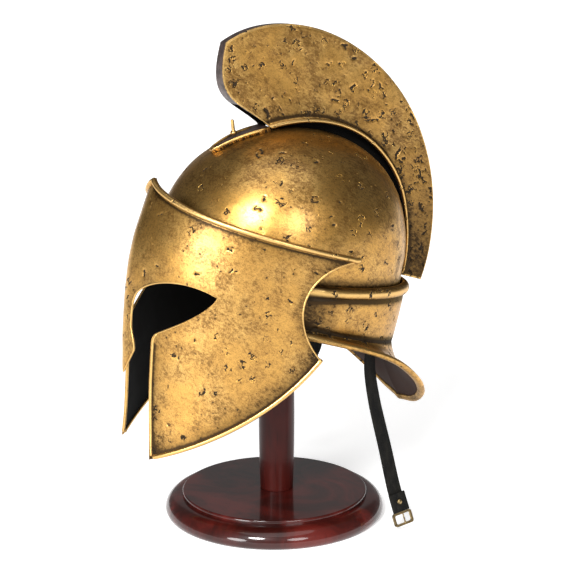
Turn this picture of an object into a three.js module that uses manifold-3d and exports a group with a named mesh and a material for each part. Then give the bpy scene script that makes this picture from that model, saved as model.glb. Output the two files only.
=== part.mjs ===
// A Greek bronze helmet on a turned wooden stand, in millimetres.
// +Z is up, the face looks along -Y, and the origin is the centre of the stand's underside.
// The skull and the nape guard are sheet bronze, the face plate is a second sheet over the brow and cheeks,
// and a hollow sheet crest rides on a saddle. A chin strap in two halves hangs from rivets inside.
import * as THREE from "three";
import { mergeVertices } from "three/addons/utils/BufferGeometryUtils.js";
import Module from "manifold-3d";

const wasm = await Module();
wasm.setup();

// ---------------------------------------------------------------- driving dimensions
const SHEET = 1.5; // thickness of the bronze sheet
const GAP = 0.4; // clearance between neighbouring pieces

const SKULL = { y: 8, z: 269, halfWidth: 108, halfLength: 122, height: 111, segments: 40 };
const SKULL_FRONT = { browZ: 276, cutY: -34, radius: 22 }; // where the skull's front lower edge is cut away

const NAPE = { beadRadius: 5.5, rollRadius: 3, endAngle: 106, beadFade: 12 };

// The lines round the neck rise towards the face: how far each lies out of the skull's outline, its height at
// the stand's axis, and how much it falls for each millimetre backwards.
const NECK_BEAD = { out: -2, z: 243.3, tilt: 0.155 };
const NECK_WAIST = { out: -13, z: 203.5, tilt: 0.31 };
const RIM_TUCK = 7; // how far the skull's rim reaches below the middle of the bead

const PLATE = { hingeY: 8, tailY: 31, bottomZ: 64, rimBead: 2.6, hemBead: 2.3 };

const CREST = { sheet: 1.5, frontAngle: -8, noseBulge: 9, frontLean: 9, tailAngle: 108, bead: 2.2 };

const STAND = { baseRadius: 108, baseHeight: 22.7, headRadius: 46, headTop: 377.2, postTop: 318, postY: 2.4 };

const STRAP = { width: 15, thickness: 2.4, lean: 0.65, twist: 0.85 };

// ---------------------------------------------------------------- materials
function finish(color, roughness, metalness) {
  return new THREE.MeshStandardMaterial({ color, roughness, metalness });
}
const bronze = finish(0xa8772c, 0.38, 1);
const mahogany = finish(0x3a0f0c, 0.2, 0);
const blackLeather = finish(0x17140f, 0.6, 0);
const brass = finish(0x8f7a45, 0.35, 1);

// ---------------------------------------------------------------- helpers
const radians = (degrees) => (degrees * Math.PI) / 180;
const mix = (a, b, t) => a + (b - a) * t;
const range = (count) => Array.from({ length: count }, (_, i) => i);
const point = (x, y, z) => new THREE.Vector3(x, y, z);

// Reads a column of a table at a key: a smooth curve through the rows, level beyond the first and the last.
function smooth(table, key, column, at) {
  const rows = table.map((row) => [row[key], row[column]]);
  const last = rows.length - 1;
  if (at <= rows[0][0]) return rows[0][1];
  if (at >= rows[last][0]) return rows[last][1];
  const i = rows.findIndex((row) => row[0] > at) - 1;
  const slope = (k) => {
    const a = rows[Math.max(k - 1, 0)];
    const b = rows[Math.min(k + 1, last)];
    return (b[1] - a[1]) / (b[0] - a[0]);
  };
  const span = rows[i + 1][0] - rows[i][0];
  const t = (at - rows[i][0]) / span;
  const rise = rows[i + 1][1] - rows[i][1];
  const startBend = slope(i) * span - rise;
  const endBend = rise - slope(i + 1) * span;
  return rows[i][1] + t * rise + t * (1 - t) * ((1 - t) * startBend + t * endBend);
}

// The closed solid between two grids of points that face each other, its borders stitched.
function solidBetween(front, back) {
  const rows = front.length;
  const columns = front[0].length;
  const positions = [...front.flat(), ...back.flat()].flatMap((p) => [p.x, p.y, p.z]);
  const faces = [];
  const quad = (a, b, c, d) => faces.push(a, b, c, a, c, d);
  const at = (side, i, j) => side * rows * columns + i * columns + j;
  for (let i = 0; i < rows - 1; i++) {
    for (let j = 0; j < columns - 1; j++) {
      quad(at(0, i, j), at(0, i, j + 1), at(0, i + 1, j + 1), at(0, i + 1, j));
      quad(at(1, i, j), at(1, i + 1, j), at(1, i + 1, j + 1), at(1, i, j + 1));
    }
  }
  for (let i = 0; i < rows - 1; i++) {
    quad(at(0, i, 0), at(0, i + 1, 0), at(1, i + 1, 0), at(1, i, 0));
    const end = columns - 1;
    quad(at(0, i, end), at(1, i, end), at(1, i + 1, end), at(0, i + 1, end));
  }
  for (let j = 0; j < columns - 1; j++) {
    quad(at(0, 0, j), at(1, 0, j), at(1, 0, j + 1), at(0, 0, j + 1));
    quad(at(0, rows - 1, j), at(0, rows - 1, j + 1), at(1, rows - 1, j + 1), at(1, rows - 1, j));
  }
  return facingOut(positions, faces);
}

// A geometry from positions and faces, with the faces turned round if they enclose a negative volume.
function facingOut(positions, faces) {
  const corner = (k) => point(...positions.slice(3 * faces[k], 3 * faces[k] + 3));
  let volume = 0;
  for (let k = 0; k < faces.length; k += 3) volume += corner(k).dot(corner(k + 1).cross(corner(k + 2)));
  const geometry = new THREE.BufferGeometry();
  geometry.setAttribute("position", new THREE.Float32BufferAttribute(positions, 3));
  geometry.setIndex(volume < 0 ? faces.slice().reverse() : faces);
  return geometry;
}

// Sheet metal over a grid of a surface's rows and columns. The bulges tell how much thicker than the sheet it
// is on its outer and its inner face.
function sheetSolid(rows, columns, surface, { outer = () => 0, inner = () => 0 } = {}) {
  const step = 1e-3;
  const normal = (r, c) => {
    const along = surface(r + step, c).sub(surface(r - step, c));
    const across = surface(r, c + step).sub(surface(r, c - step));
    return along.cross(across).normalize();
  };
  const face = (side, bulge) =>
    rows.map((r) =>
      columns.map((c) => surface(r, c).addScaledVector(normal(r, c), side * (SHEET / 2 + bulge(r, c)))),
    );
  return solidBetween(face(1, outer), face(-1, inner));
}

// A half-round bead: the steps across its width, and how proud it is at a share t of that width.
const BEAD_STEPS = [0, 0.15, 0.5, 0.85, 1];
const halfRound = (t, radius) => 2 * radius * Math.sqrt(Math.max(0, t * (1 - t)));

// A round rod along a curve through points. A full arc is drawn with two sides for each curve segment.
function rod(points, radius, steps, sides = 8) {
  const section = new THREE.Shape();
  section.absarc(0, 0, radius, 0, 2 * Math.PI, false);
  const extrudePath = new THREE.CatmullRomCurve3(points, false, "centripetal");
  const options = { extrudePath, steps, curveSegments: sides / 2, bevelEnabled: false };
  return new THREE.ExtrudeGeometry(section, options);
}

// A flat shape made into a prism. It is drawn in a view of the object: (y, z) from the side and (x, z) from
// the front.
function prism(shape, view, from, depth, segments = 7) {
  const options = { depth, curveSegments: segments, bevelEnabled: false };
  const geometry = new THREE.ExtrudeGeometry(shape, options);
  const axes = {
    side: [point(0, 1, 0), point(0, 0, 1), point(1, 0, 0)],
    front: [point(1, 0, 0), point(0, 0, 1), point(0, -1, 0)],
  }[view];
  geometry.translate(0, 0, from);
  return geometry.applyMatrix4(new THREE.Matrix4().makeBasis(...axes));
}

// manifold-3d joins and cuts: a geometry becomes a solid, and a solid a geometry again.
function solid(geometry) {
  const bare = new THREE.BufferGeometry();
  bare.setAttribute("position", geometry.getAttribute("position"));
  if (geometry.index) bare.setIndex(geometry.index);
  const merged = mergeVertices(bare, 1e-3);
  const mesh = new wasm.Mesh({
    numProp: 3,
    vertProperties: merged.getAttribute("position").array,
    triVerts: new Uint32Array(merged.index.array),
  });
  return new wasm.Manifold(mesh);
}
function geometryOf(made) {
  const mesh = made.getMesh();
  const geometry = new THREE.BufferGeometry();
  geometry.setAttribute("position", new THREE.Float32BufferAttribute(mesh.vertProperties, 3));
  geometry.setIndex(new THREE.Uint32BufferAttribute(mesh.triVerts, 1));
  return geometry;
}
function join(...geometries) {
  return geometryOf(geometries.map(solid).reduce((a, b) => a.add(b)));
}
function cut(geometry, ...tools) {
  return geometryOf(tools.map(solid).reduce((a, b) => a.subtract(b), solid(geometry)));
}
function keep(geometry, region) {
  return geometryOf(solid(geometry).intersect(solid(region)));
}

const helmet = new THREE.Group();
function addPiece(name, geometry, material) {
  const mesh = new THREE.Mesh(geometry, material);
  mesh.name = name;
  helmet.add(mesh);
  return mesh;
}

// ---------------------------------------------------------------- skull
// How far the skull's wall lies inside its widest outline, by the share of the way from there to the rim.
const SKULL_WALL = [
  { drop: 0, inset: 0 },
  { drop: 0.25, inset: 0.8 },
  { drop: 0.55, inset: 3.4 },
  { drop: 1, inset: 5.8 },
];

// The exponent of the dome's oval: 2 is an ellipse, and more is fuller. Turns are counted from the back.
const skullFullness = (turn) => 2.1 + 0.1 * Math.cos(radians(turn));

// The skull's outer distance from its centre in the middle plane, at an angle from straight up to the back.
function skullRadius(angle) {
  const fullness = skullFullness(angle < 0 ? 180 : 0);
  const up = Math.cos(radians(angle)) / SKULL.height;
  const back = Math.abs(Math.sin(radians(angle))) / SKULL.halfLength;
  return (Math.max(up, 0) ** fullness + back ** fullness) ** (-1 / fullness);
}

// A point over the skull: an angle in the middle plane, a distance to the side, and a lift off the surface.
function overSkull(angle, side, lift) {
  const shrink = Math.sqrt(1 - (side / SKULL.halfWidth) ** 2);
  const distance = skullRadius(angle) * shrink + lift;
  const a = radians(angle);
  return point(side, SKULL.y + distance * Math.sin(a), SKULL.z + distance * Math.cos(a));
}

// The height of a line round the neck, at a place from front to back.
const neckHeight = (line, y) => line.z - line.tilt * y;

// A point of the skull, inside its outer face by a distance: turn runs round from straight back, and fall runs
// from the crown (0) over the dome to its widest line (1) and down the wall to the rim (2).
function skullPoint(turn, fall, inside) {
  const lean = Math.min(fall, 1) * (Math.PI / 2);
  const power = 2 / skullFullness(turn);
  const spread = Math.sin(lean) ** power;
  const drop = Math.max(fall - 1, 0);
  const inset = inside + smooth(SKULL_WALL, "drop", "inset", drop);
  const y = SKULL.y + (SKULL.halfLength - inset) * spread * Math.cos(radians(turn));
  const x = (SKULL.halfWidth - inset) * spread * Math.sin(radians(turn));
  const rim = neckHeight(NECK_BEAD, y) - RIM_TUCK;
  const rise = (SKULL.height - inside) * Math.cos(lean) ** power;
  return point(x, y, SKULL.z + rise - drop * (SKULL.z - rim));
}

function skull() {
  const domeSteps = 9;
  const falls = [...range(domeSteps).map((i) => i / domeSteps), ...SKULL_WALL.map((row) => 1 + row.drop)];
  const rows = [...falls.map((fall) => [fall, 0]), ...falls.reverse().map((fall) => [fall, SHEET])];
  const turns = range(SKULL.segments).map((i) => (360 * i) / SKULL.segments);
  const meridian = (turn) => rows.map(([fall, inside]) => skullPoint(turn, fall, inside));
  const positions = turns.flatMap((turn) => meridian(turn).flatMap((p) => p.toArray()));
  const faces = [];
  for (let i = 0; i < turns.length; i++) {
    for (let j = 0; j < rows.length - 1; j++) {
      const here = i * rows.length + j;
      const next = ((i + 1) % turns.length) * rows.length + j;
      faces.push(here, next, next + 1, here, next + 1, here + 1);
    }
  }
  const bowl = facingOut(positions, faces);

  const { browZ, cutY, radius } = SKULL_FRONT;
  const face = new THREE.Shape();
  face.moveTo(-160, 190);
  face.lineTo(cutY, 190);
  face.lineTo(cutY, browZ - radius);
  face.absarc(cutY - radius, browZ - radius, radius, 0, Math.PI / 2, false);
  face.lineTo(-160, browZ);
  return cut(bowl, prism(face, "side", -150, 300));
}
addPiece("skull", skull(), bronze);

// ---------------------------------------------------------------- nape guard
// The guard's rolled lower edge, by angle from the back: how far out of the skull's outline, and how high.
const NAPE_EDGE = [
  { angle: 0, out: 12.5, z: 96 },
  { angle: 14, out: 17, z: 102 },
  { angle: 28, out: 20.5, z: 118.5 },
  { angle: 42, out: 20.5, z: 141 },
  { angle: 56, out: 15.5, z: 164.5 },
  { angle: 70, out: 9, z: 180.5 },
  { angle: 85, out: 0, z: 191.5 },
  { angle: 106, out: -8, z: 202.5 },
];

function aroundSkull(angle, out, z) {
  const a = radians(angle);
  const x = (SKULL.halfWidth + out) * Math.sin(a);
  return point(x, SKULL.y + (SKULL.halfLength + out) * Math.cos(a), z);
}

// Mid-surface of the nape guard: behind the bead (0 to 1), down the band to the waist (1 to 2), out along the
// flare (2 to 3) and through the rolled edge (3 to 4).
function napeSurface(angle, down) {
  const heightOf = (line) => neckHeight(line, aroundSkull(angle, line.out, 0).y);
  const beadZ = heightOf(NECK_BEAD);
  const beadEnd = beadZ - NAPE.beadRadius;
  const waistZ = heightOf(NECK_WAIST);
  if (down <= 1) return aroundSkull(angle, NECK_BEAD.out, mix(beadZ + NAPE.beadRadius, beadEnd, down));
  if (down <= 2) {
    const t = down - 1;
    return aroundSkull(angle, mix(NECK_BEAD.out, NECK_WAIST.out, t ** 1.3), mix(beadEnd, waistZ, t));
  }
  const turn = Math.abs(angle);
  const edge = { out: smooth(NAPE_EDGE, "angle", "out", turn), z: smooth(NAPE_EDGE, "angle", "z", turn) };
  const length = Math.hypot(edge.out - NECK_WAIST.out, edge.z - waistZ);
  const rollStart = 1 - (2 * NAPE.rollRadius) / length;
  const t = down <= 3 ? (down - 2) * rollStart : mix(rollStart, 1, down - 3);
  const bend = (a, b, c) => (1 - t) ** 2 * a + 2 * t * (1 - t) * b + t * t * c;
  const knee = { out: NECK_WAIST.out + 1, z: mix(waistZ, edge.z, 0.45) };
  return aroundSkull(angle, bend(NECK_WAIST.out, knee.out, edge.out), bend(waistZ, knee.z, edge.z));
}

function napeGuard() {
  const angles = range(29).map((i) => mix(-NAPE.endAngle, NAPE.endAngle, i / 28));
  const downs = [...BEAD_STEPS, 1.33, 1.66, 2, 2.33, 2.66, ...BEAD_STEPS.map((t) => 3 + t)];
  const fade = (angle) => Math.min(1, (NAPE.endAngle - Math.abs(angle)) / NAPE.beadFade);
  const roll = (down) => (down < 3 ? 0 : halfRound(down - 3, NAPE.rollRadius - SHEET / 2));
  const rib = (angle, down) => (down > 1 ? 0 : halfRound(down, NAPE.beadRadius) * fade(angle));
  return sheetSolid(angles, downs, napeSurface, {
    outer: (angle, down) => rib(angle, down) + roll(down),
    inner: (angle, down) => roll(down),
  });
}
addPiece("nape_guard", napeGuard(), bronze);

// ---------------------------------------------------------------- face plate
// In plan the plate is a pointed arch. By height: how far forward its keel stands, and half its width at the
// temples.
const PLATE_ARCH = [
  { z: 64, keel: 171, half: 117 },
  { z: 110, keel: 161, half: 113.5 },
  { z: 160, keel: 156, half: 112.4 },
  { z: 205, keel: 153.5, half: 112.3 },
  { z: 250, keel: 149, half: 111.6 },
  { z: 285, keel: 141, half: 109.6 },
  { z: 312, keel: 131, half: 105 },
  { z: 340, keel: 120, half: 98 },
];
// The brow's edge, from the keel (0) to the tail over the ear (1).
const BROW_EDGE = [
  { along: 0, z: 340 },
  { along: 0.08, z: 332 },
  { along: 0.25, z: 320 },
  { along: 0.5, z: 304.5 },
  { along: 0.75, z: 289 },
  { along: 1, z: 273 },
];

function archAt(z) {
  const half = smooth(PLATE_ARCH, "z", "half", z);
  const depth = smooth(PLATE_ARCH, "z", "keel", z) + PLATE.hingeY;
  const radius = (depth * depth + half * half) / (2 * half);
  const tail = -Math.asin((PLATE.tailY - PLATE.hingeY) / radius);
  return { half, radius, keelTurn: Math.acos(1 - half / radius), tail };
}

// Mid-surface of the plate: along runs from the left tail (-1) over the keel (0) to the right tail (1).
function plateSurface(along, z) {
  const { half, radius, keelTurn, tail } = archAt(z);
  const turn = mix(keelTurn, tail, Math.abs(along));
  const x = radius * Math.cos(turn) - (radius - half);
  return point(-Math.sign(along) * x, PLATE.hingeY - radius * Math.sin(turn), z);
}

// The plate's point at a given depth or a given width, on the side of the wearer's left (1) or right (-1).
function plateAtY(y, z, side) {
  const { half, radius } = archAt(z);
  return point(side * (Math.sqrt(radius ** 2 - (y - PLATE.hingeY) ** 2) - (radius - half)), y, z);
}
function plateAtX(x, z, side) {
  const { half, radius } = archAt(z);
  return point(side * x, PLATE.hingeY - Math.sqrt(radius ** 2 - (x + radius - half) ** 2), z);
}

// The opening for eyes, nose and mouth in front view: half of it, from the nasal's tip round to the chin.
const FACE_HALF = {
  nasalTip: [0, 161],
  nasalWide: [14, 184],
  nasalNeck: [9.5, 211],
  eyeInner: [15, 239],
  eyeOuter: [80, 241],
  cheekTop: [38, 204],
  cheekFront: [33, 193],
  chin: [45, 60],
};
function faceOpening() {
  const h = FACE_HALF;
  const shape = new THREE.Shape();
  const half = (side, forward) => {
    const steps = [
      ["l", h.nasalWide],
      ["b", [14.5, 196], [9.5, 199], h.nasalNeck],
      ["b", [9.5, 222], [10, 233], h.eyeInner],
      ["b", [28, 253], [62, 259], h.eyeOuter],
      ["b", [74, 224], [54, 213], h.cheekTop],
      ["b", [34.5, 202.3], [33, 198], h.cheekFront],
      ["b", [31, 150], [31, 110], h.chin],
    ];
    const ends = [h.nasalTip, ...steps.map((s) => s[s.length - 1])];
    const ordered = forward ? steps.map((s, i) => [s, i + 1]) : steps.map((s, i) => [s, i]).reverse();
    for (const [step, end] of ordered) {
      const [x, z] = ends[end];
      if (step[0] === "l") shape.lineTo(side * x, z);
      else {
        const [c1, c2] = forward ? [step[1], step[2]] : [step[2], step[1]];
        shape.bezierCurveTo(side * c1[0], c1[1], side * c2[0], c2[1], side * x, z);
      }
    }
  };
  shape.moveTo(...h.nasalTip);
  half(1, true);
  shape.lineTo(-h.chin[0], h.chin[1]);
  half(-1, false);
  return shape;
}

// The plate in side view: the tail over the ear, the hollow behind the cheek, its corner and the lower edge.
const EAR = { tail: [33, 269], bend: [[-14, 268], [-42, 228]], corner: [-5, 181] };
const JAW = { bend: [[-42, 141], [-96, 108]], tip: [-160, 78] };
const bezier = (a, [b, c], d) =>
  new THREE.CubicBezierCurve(...[a, b, c, d].map((p) => new THREE.Vector2(...p)));
const earCurve = bezier(EAR.tail, EAR.bend, EAR.corner);
const jawCurve = bezier(EAR.corner, JAW.bend, JAW.tip);

function cheekOutline() {
  const shape = new THREE.Shape();
  shape.moveTo(50, EAR.tail[1]);
  shape.lineTo(...EAR.tail);
  earCurve.getPoints(9).slice(1).forEach((p) => shape.lineTo(p.x, p.y));
  jawCurve.getPoints(10).slice(1).forEach((p) => shape.lineTo(p.x, p.y));
  shape.lineTo(-190, 72);
  shape.lineTo(-190, 360);
  shape.lineTo(50, 360);
  return shape;
}

// The wires that stiffen a cheek, one in the hem along the jaw and one in the hem up the front edge.
function jawHem(side) {
  const jaw = jawCurve.getPoints(18).filter((p) => p.x > -141);
  return rod(jaw.map((p) => plateAtY(p.x, p.y + 1, side)), PLATE.hemBead, 12, 6);
}
function frontHem(side) {
  const opening = new THREE.CubicBezierCurve(
    ...[FACE_HALF.cheekFront, [31, 150], [31, 110], FACE_HALF.chin].map((p) => new THREE.Vector2(...p)),
  );
  const edge = opening.getPoints(14).filter((p) => p.y > 82);
  return rod(edge.map((p) => plateAtX(p.x + 1, p.y, side)), PLATE.hemBead * 0.7, 8, 6);
}

function facePlate() {
  const along = range(29).map((i) => -1 + i / 14);
  const rimDrop = 2 * PLATE.rimBead;
  const downs = [...BEAD_STEPS, ...range(6).map((i) => 1 + (i + 1) / 6)];
  const surface = (a, down) => {
    const top = smooth(BROW_EDGE, "along", "z", Math.abs(a));
    const z = down <= 1 ? top - rimDrop * down : mix(top - rimDrop, PLATE.bottomZ, down - 1);
    return plateSurface(a, z);
  };
  const rim = (a, down) => (down > 1 ? 0 : halfRound(down, PLATE.rimBead));
  const sheet = sheetSolid(along, downs, surface, { outer: (a, down) => 1.3 * rim(a, down) });
  const trimmed = cut(
    keep(sheet, prism(cheekOutline(), "side", -150, 300)),
    prism(faceOpening(), "front", 62, 140),
  );
  return join(trimmed, ...[1, -1].flatMap((side) => [jawHem(side), frontHem(side)]));
}
addPiece("face_plate", facePlate(), bronze);

// ---------------------------------------------------------------- crest
// By angle over the skull, from the front to the tail: the crest's inner and outer distance from the skull's
// centre, and half its thickness along the foot and along the outer edge.
const CREST_FORM = [
  { angle: -30, inner: 111, outer: 178, foot: 13, edge: 5 },
  { angle: -24, inner: 111, outer: 192, foot: 13, edge: 6 },
  { angle: -12, inner: 112, outer: 204.5, foot: 13, edge: 6.5 },
  { angle: 0, inner: 114.2, outer: 207.5, foot: 13, edge: 6.5 },
  { angle: 14, inner: 118.6, outer: 203.5, foot: 12.5, edge: 6.5 },
  { angle: 40, inner: 127.6, outer: 189, foot: 11.5, edge: 6 },
  { angle: 65, inner: 131.4, outer: 174, foot: 10.5, edge: 5.5 },
  { angle: 86, inner: 131, outer: 165, foot: 9.5, edge: 5 },
  { angle: 108, inner: 133.5, outer: 160, foot: 8.5, edge: 4.5 },
];

// A point of the crest: along from front (0) to tail (1), up from foot (0) to edge (1), side -1 or 1.
function crestPoint(along, up, side, { inset = 0, below = 0 } = {}) {
  const front = CREST.frontAngle - CREST.frontLean * up - CREST.noseBulge * Math.sin(Math.PI * up);
  const margin = inset / 2.6;
  const angle = mix(front + margin, CREST.tailAngle - margin, along);
  const foot = smooth(CREST_FORM, "angle", "foot", angle);
  const edge = smooth(CREST_FORM, "angle", "edge", angle);
  const inner = smooth(CREST_FORM, "angle", "inner", angle) - below;
  const outer = smooth(CREST_FORM, "angle", "outer", angle) - inset;
  const distance = mix(inner, outer, up);
  const beadUp = (distance - inner) / (2 * CREST.bead);
  const bead = inset === 0 && beadUp < 1 ? halfRound(beadUp, CREST.bead) : 0;
  const a = radians(angle);
  const x = side * (mix(foot, edge, up) - inset + bead);
  return point(x, SKULL.y + distance * Math.sin(a), SKULL.z + distance * Math.cos(a));
}

function crest() {
  const alongs = range(25).map((i) => i / 24);
  const beadShare = 0.055;
  const ups = [...BEAD_STEPS.map((t) => t * beadShare), 0.2, 0.4, 0.6, 0.8, 1];
  const wall = (side, heights, options) =>
    alongs.map((along) => heights.map((up) => crestPoint(along, up, side, options)));
  const box = solidBetween(wall(1, ups), wall(-1, ups));
  const hollow = { inset: CREST.sheet, below: 4 };
  return cut(box, solidBetween(wall(1, [0, 0.5, 1], hollow), wall(-1, [0, 0.5, 1], hollow)));
}
addPiece("crest", crest(), bronze);

// The saddle before the crest: a plate that follows the skull, beaded round and narrowed to a rounded point.
const SADDLE = [
  { angle: -38, half: 3 },
  { angle: -34, half: 7 },
  { angle: -24, half: 11.5 },
  { angle: -14, half: 14 },
  { angle: -9.6, half: 14.5 },
];
const SADDLE_PLATE = { thickness: 3, bead: 2, tipBead: 3, sideBead: 0.24 };
function saddle() {
  const front = SADDLE[0].angle;
  const angles = [front, ...[0.8, 1.6, 3, 6, 10, 15, 20, 25].map((step) => front + step), SADDLE.at(-1).angle];
  const sides = [-1, -0.92, -0.84, -0.76, 0, 0.76, 0.84, 0.92, 1];
  const lifted = (angle, side) => {
    const fromTip = (angle - front) / SADDLE_PLATE.tipBead;
    const fromSide = (1 - Math.abs(side)) / SADDLE_PLATE.sideBead;
    return GAP + SADDLE_PLATE.thickness + halfRound(Math.min(fromTip, fromSide, 1), SADDLE_PLATE.bead);
  };
  const face = (lift) =>
    angles.map((a) => sides.map((s) => overSkull(a, s * smooth(SADDLE, "angle", "half", a), lift(a, s))));
  return solidBetween(face(lifted), face(() => GAP));
}
addPiece("crest_saddle", saddle(), bronze);

// The peg in front of the crest, which takes a plume: a pin on a small ball.
const PEG = { angle: -24.6, ball: 3.2, radius: 1.7, height: 15, tilt: 6 };
function peg() {
  const { ball, radius, height } = PEG;
  const profile = [
    [0, 0],
    [ball * 0.75, ball * 0.3],
    [ball, ball * 0.8],
    [ball * 0.75, ball * 1.3],
    [radius, ball * 1.5],
    [radius * 0.9, height - 1],
    [radius * 0.5, height],
    [0, height],
  ];
  const turned = new THREE.LatheGeometry(profile.map((p) => new THREE.Vector2(...p)), 12);
  return turned.rotateX(Math.PI / 2);
}
const crestPeg = addPiece("crest_peg", peg(), bronze);
crestPeg.position.copy(overSkull(PEG.angle, 0, SADDLE_PLATE.thickness + 2 * GAP));
crestPeg.rotation.x = radians(PEG.tilt);

// The rib that carries the crest: a curved bar in the middle plane, from the skull into the crest's hollow.
const RIB = { frontAngle: -4, tailAngle: 100, thickness: 5, clearance: 0.7, intoCrest: 9, steps: 18 };
function rib() {
  const angles = range(RIB.steps + 1).map((i) => mix(RIB.frontAngle, RIB.tailAngle, i / RIB.steps));
  const line = (distance) => (angle) => {
    const back = distance(angle) * Math.sin(radians(angle));
    const up = distance(angle) * Math.cos(radians(angle));
    return new THREE.Vector2(SKULL.y + back, SKULL.z + up);
  };
  const foot = angles.map(line((angle) => skullRadius(angle) + RIB.clearance));
  const top = angles.map(line((angle) => smooth(CREST_FORM, "angle", "inner", angle) + RIB.intoCrest));
  return prism(new THREE.Shape([...foot, ...top.reverse()]), "side", -RIB.thickness / 2, RIB.thickness);
}
addPiece("crest_rib", rib(), bronze);

// ---------------------------------------------------------------- chin strap
// Each half hangs from a rivet inside the helmet. Rows run down its middle line.
const BUCKLE_HALF = [
  { x: 85, y: 70.5, z: 219 },
  { x: 82, y: 68.8, z: 205 },
  { x: 78.4, y: 66.9, z: 190 },
  { x: 75, y: 65.8, z: 174 },
  { x: 73.2, y: 66, z: 157 },
  { x: 76, y: 69.5, z: 126 },
  { x: 84, y: 78, z: 78 },
  { x: 93, y: 83.5, z: 39 },
  { x: 100, y: 87, z: 18 },
];
const TONGUE_HALF = [
  { x: -85, y: 70.5, z: 219 },
  { x: -82, y: 68.8, z: 205 },
  { x: -78, y: 66.9, z: 190 },
  { x: -73.8, y: 68, z: 175 },
  { x: -71.3, y: 74, z: 161 },
  { x: -70.5, y: 79, z: 147 },
  { x: -72.5, y: 74, z: 131 },
  { x: -76, y: 64.5, z: 114 },
  { x: -80, y: 51, z: 97 },
  { x: -84.5, y: 37, z: 80 },
];

// Frames down a strap: its middle, the direction across its width, and the direction out of its flat. A twist
// turns the flat towards the helmet's side on the way down.
function strapFrames(rows, steps, twist = 0) {
  const line = new THREE.CatmullRomCurve3(rows.map((r) => point(r.x, r.y, r.z)), false, "centripetal");
  return range(steps + 1).map((i) => {
    const along = line.getTangentAt(i / steps);
    const middle = line.getPointAt(i / steps);
    const outward = point(middle.x, middle.y * STRAP.lean * (1 - (twist * i) / steps), 0).normalize();
    const across = new THREE.Vector3().crossVectors(along, outward).normalize();
    return { middle, across, out: new THREE.Vector3().crossVectors(across, along).normalize(), along };
  });
}
function band(frames, width, thickness, lift = 0) {
  const face = (side) =>
    frames.map(({ middle, across, out }, i) =>
      [-1, 1].map((edge) =>
        middle
          .clone()
          .addScaledVector(across, (edge * (typeof width === "function" ? width(i) : width)) / 2)
          .addScaledVector(out, lift + (side * thickness) / 2),
      ),
    );
  return solidBetween(face(1), face(-1));
}

const buckleFrames = strapFrames(BUCKLE_HALF, 22, STRAP.twist);
const lastFrame = buckleFrames[buckleFrames.length - 1];
const tongueFrames = strapFrames(TONGUE_HALF, 18);
const tongueWidth = (i) => STRAP.width * (i > 16 ? 1 - 0.32 * (i - 16) : 1);

// The fold that holds the buckle lies on the outer face of the strap's lower end.
const foldFrames = buckleFrames.slice(-3);
addPiece(
  "chin_strap_left",
  join(
    band(buckleFrames, STRAP.width, STRAP.thickness),
    band(foldFrames, STRAP.width + 3, STRAP.thickness, STRAP.thickness - 0.2),
  ),
  blackLeather,
);
addPiece("chin_strap_right", band(tongueFrames, tongueWidth, STRAP.thickness), blackLeather);

// A mesh placed in a strap frame: its own X runs across the strap, Y down it and Z out of its flat.
function placeInFrame(mesh, frame, down, out) {
  const basis = new THREE.Matrix4().makeBasis(frame.across, frame.along, frame.out);
  mesh.quaternion.setFromRotationMatrix(basis);
  mesh.position.copy(frame.middle).addScaledVector(frame.along, down).addScaledVector(frame.out, out);
}

const BUCKLE = { width: 21, height: 13, bar: 1.1, prong: 0.9 };
function buckleFrame() {
  const { width, height, bar } = BUCKLE;
  const outline = (x, y, r) => {
    const shape = new THREE.Shape();
    shape.moveTo(-x + r, -y);
    shape.lineTo(x - r, -y);
    shape.quadraticCurveTo(x, -y, x, -y + r);
    shape.lineTo(x, y - r);
    shape.quadraticCurveTo(x, y, x - r, y);
    shape.lineTo(-x + r, y);
    shape.quadraticCurveTo(-x, y, -x, y - r);
    shape.lineTo(-x, -y + r);
    shape.quadraticCurveTo(-x, -y, -x + r, -y);
    return shape;
  };
  const ring = outline(width / 2, height / 2, 3);
  ring.holes.push(outline(width / 2 - 2 * bar, height / 2 - 2 * bar, 1.5));
  const options = { depth: 2 * bar, curveSegments: 4, bevelEnabled: false };
  return new THREE.ExtrudeGeometry(ring, options).translate(0, 0, -bar);
}
const buckle = addPiece("buckle_frame", buckleFrame(), brass);
placeInFrame(buckle, lastFrame, BUCKLE.height / 2 + GAP, 1.2);

function buckleProng() {
  const { height, prong } = BUCKLE;
  return new THREE.CylinderGeometry(prong, prong * 0.7, height - 2.6, 8);
}
const prong = addPiece("buckle_prong", buckleProng(), brass);
placeInFrame(prong, lastFrame, BUCKLE.height / 2 + GAP, 1.2 + BUCKLE.bar + BUCKLE.prong + GAP);

// Domed rivets: one through the buckle's fold, and one at the upper end of each half.
function rivet(radius, height) {
  const dome = range(4).map((i) => {
    const a = (i / 3) * (Math.PI / 2);
    return new THREE.Vector2(radius * Math.cos(a), height * Math.sin(a));
  });
  dome[3].x = 0;
  return new THREE.LatheGeometry([new THREE.Vector2(0, 0), ...dome], 14).rotateX(Math.PI / 2);
}
const foldRivet = addPiece("strap_fold_rivet", rivet(2.6, 1.3), brass);
placeInFrame(foldRivet, buckleFrames[buckleFrames.length - 2], 0, STRAP.thickness * 1.5 - 0.2 + GAP);
const leftRivet = addPiece("strap_rivet_left", rivet(3, 1.4), brass);
placeInFrame(leftRivet, buckleFrames[0], 7, -STRAP.thickness / 2 - GAP);
leftRivet.rotateY(Math.PI);
const rightRivet = addPiece("strap_rivet_right", rivet(3, 1.4), brass);
placeInFrame(rightRivet, tongueFrames[0], 7, -STRAP.thickness / 2 - GAP);
rightRivet.rotateY(Math.PI);

// ---------------------------------------------------------------- stand
function turned(profile, segments) {
  const points = profile.map(([radius, z]) => new THREE.Vector2(radius, z));
  return new THREE.LatheGeometry(points, segments).rotateX(Math.PI / 2);
}

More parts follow.
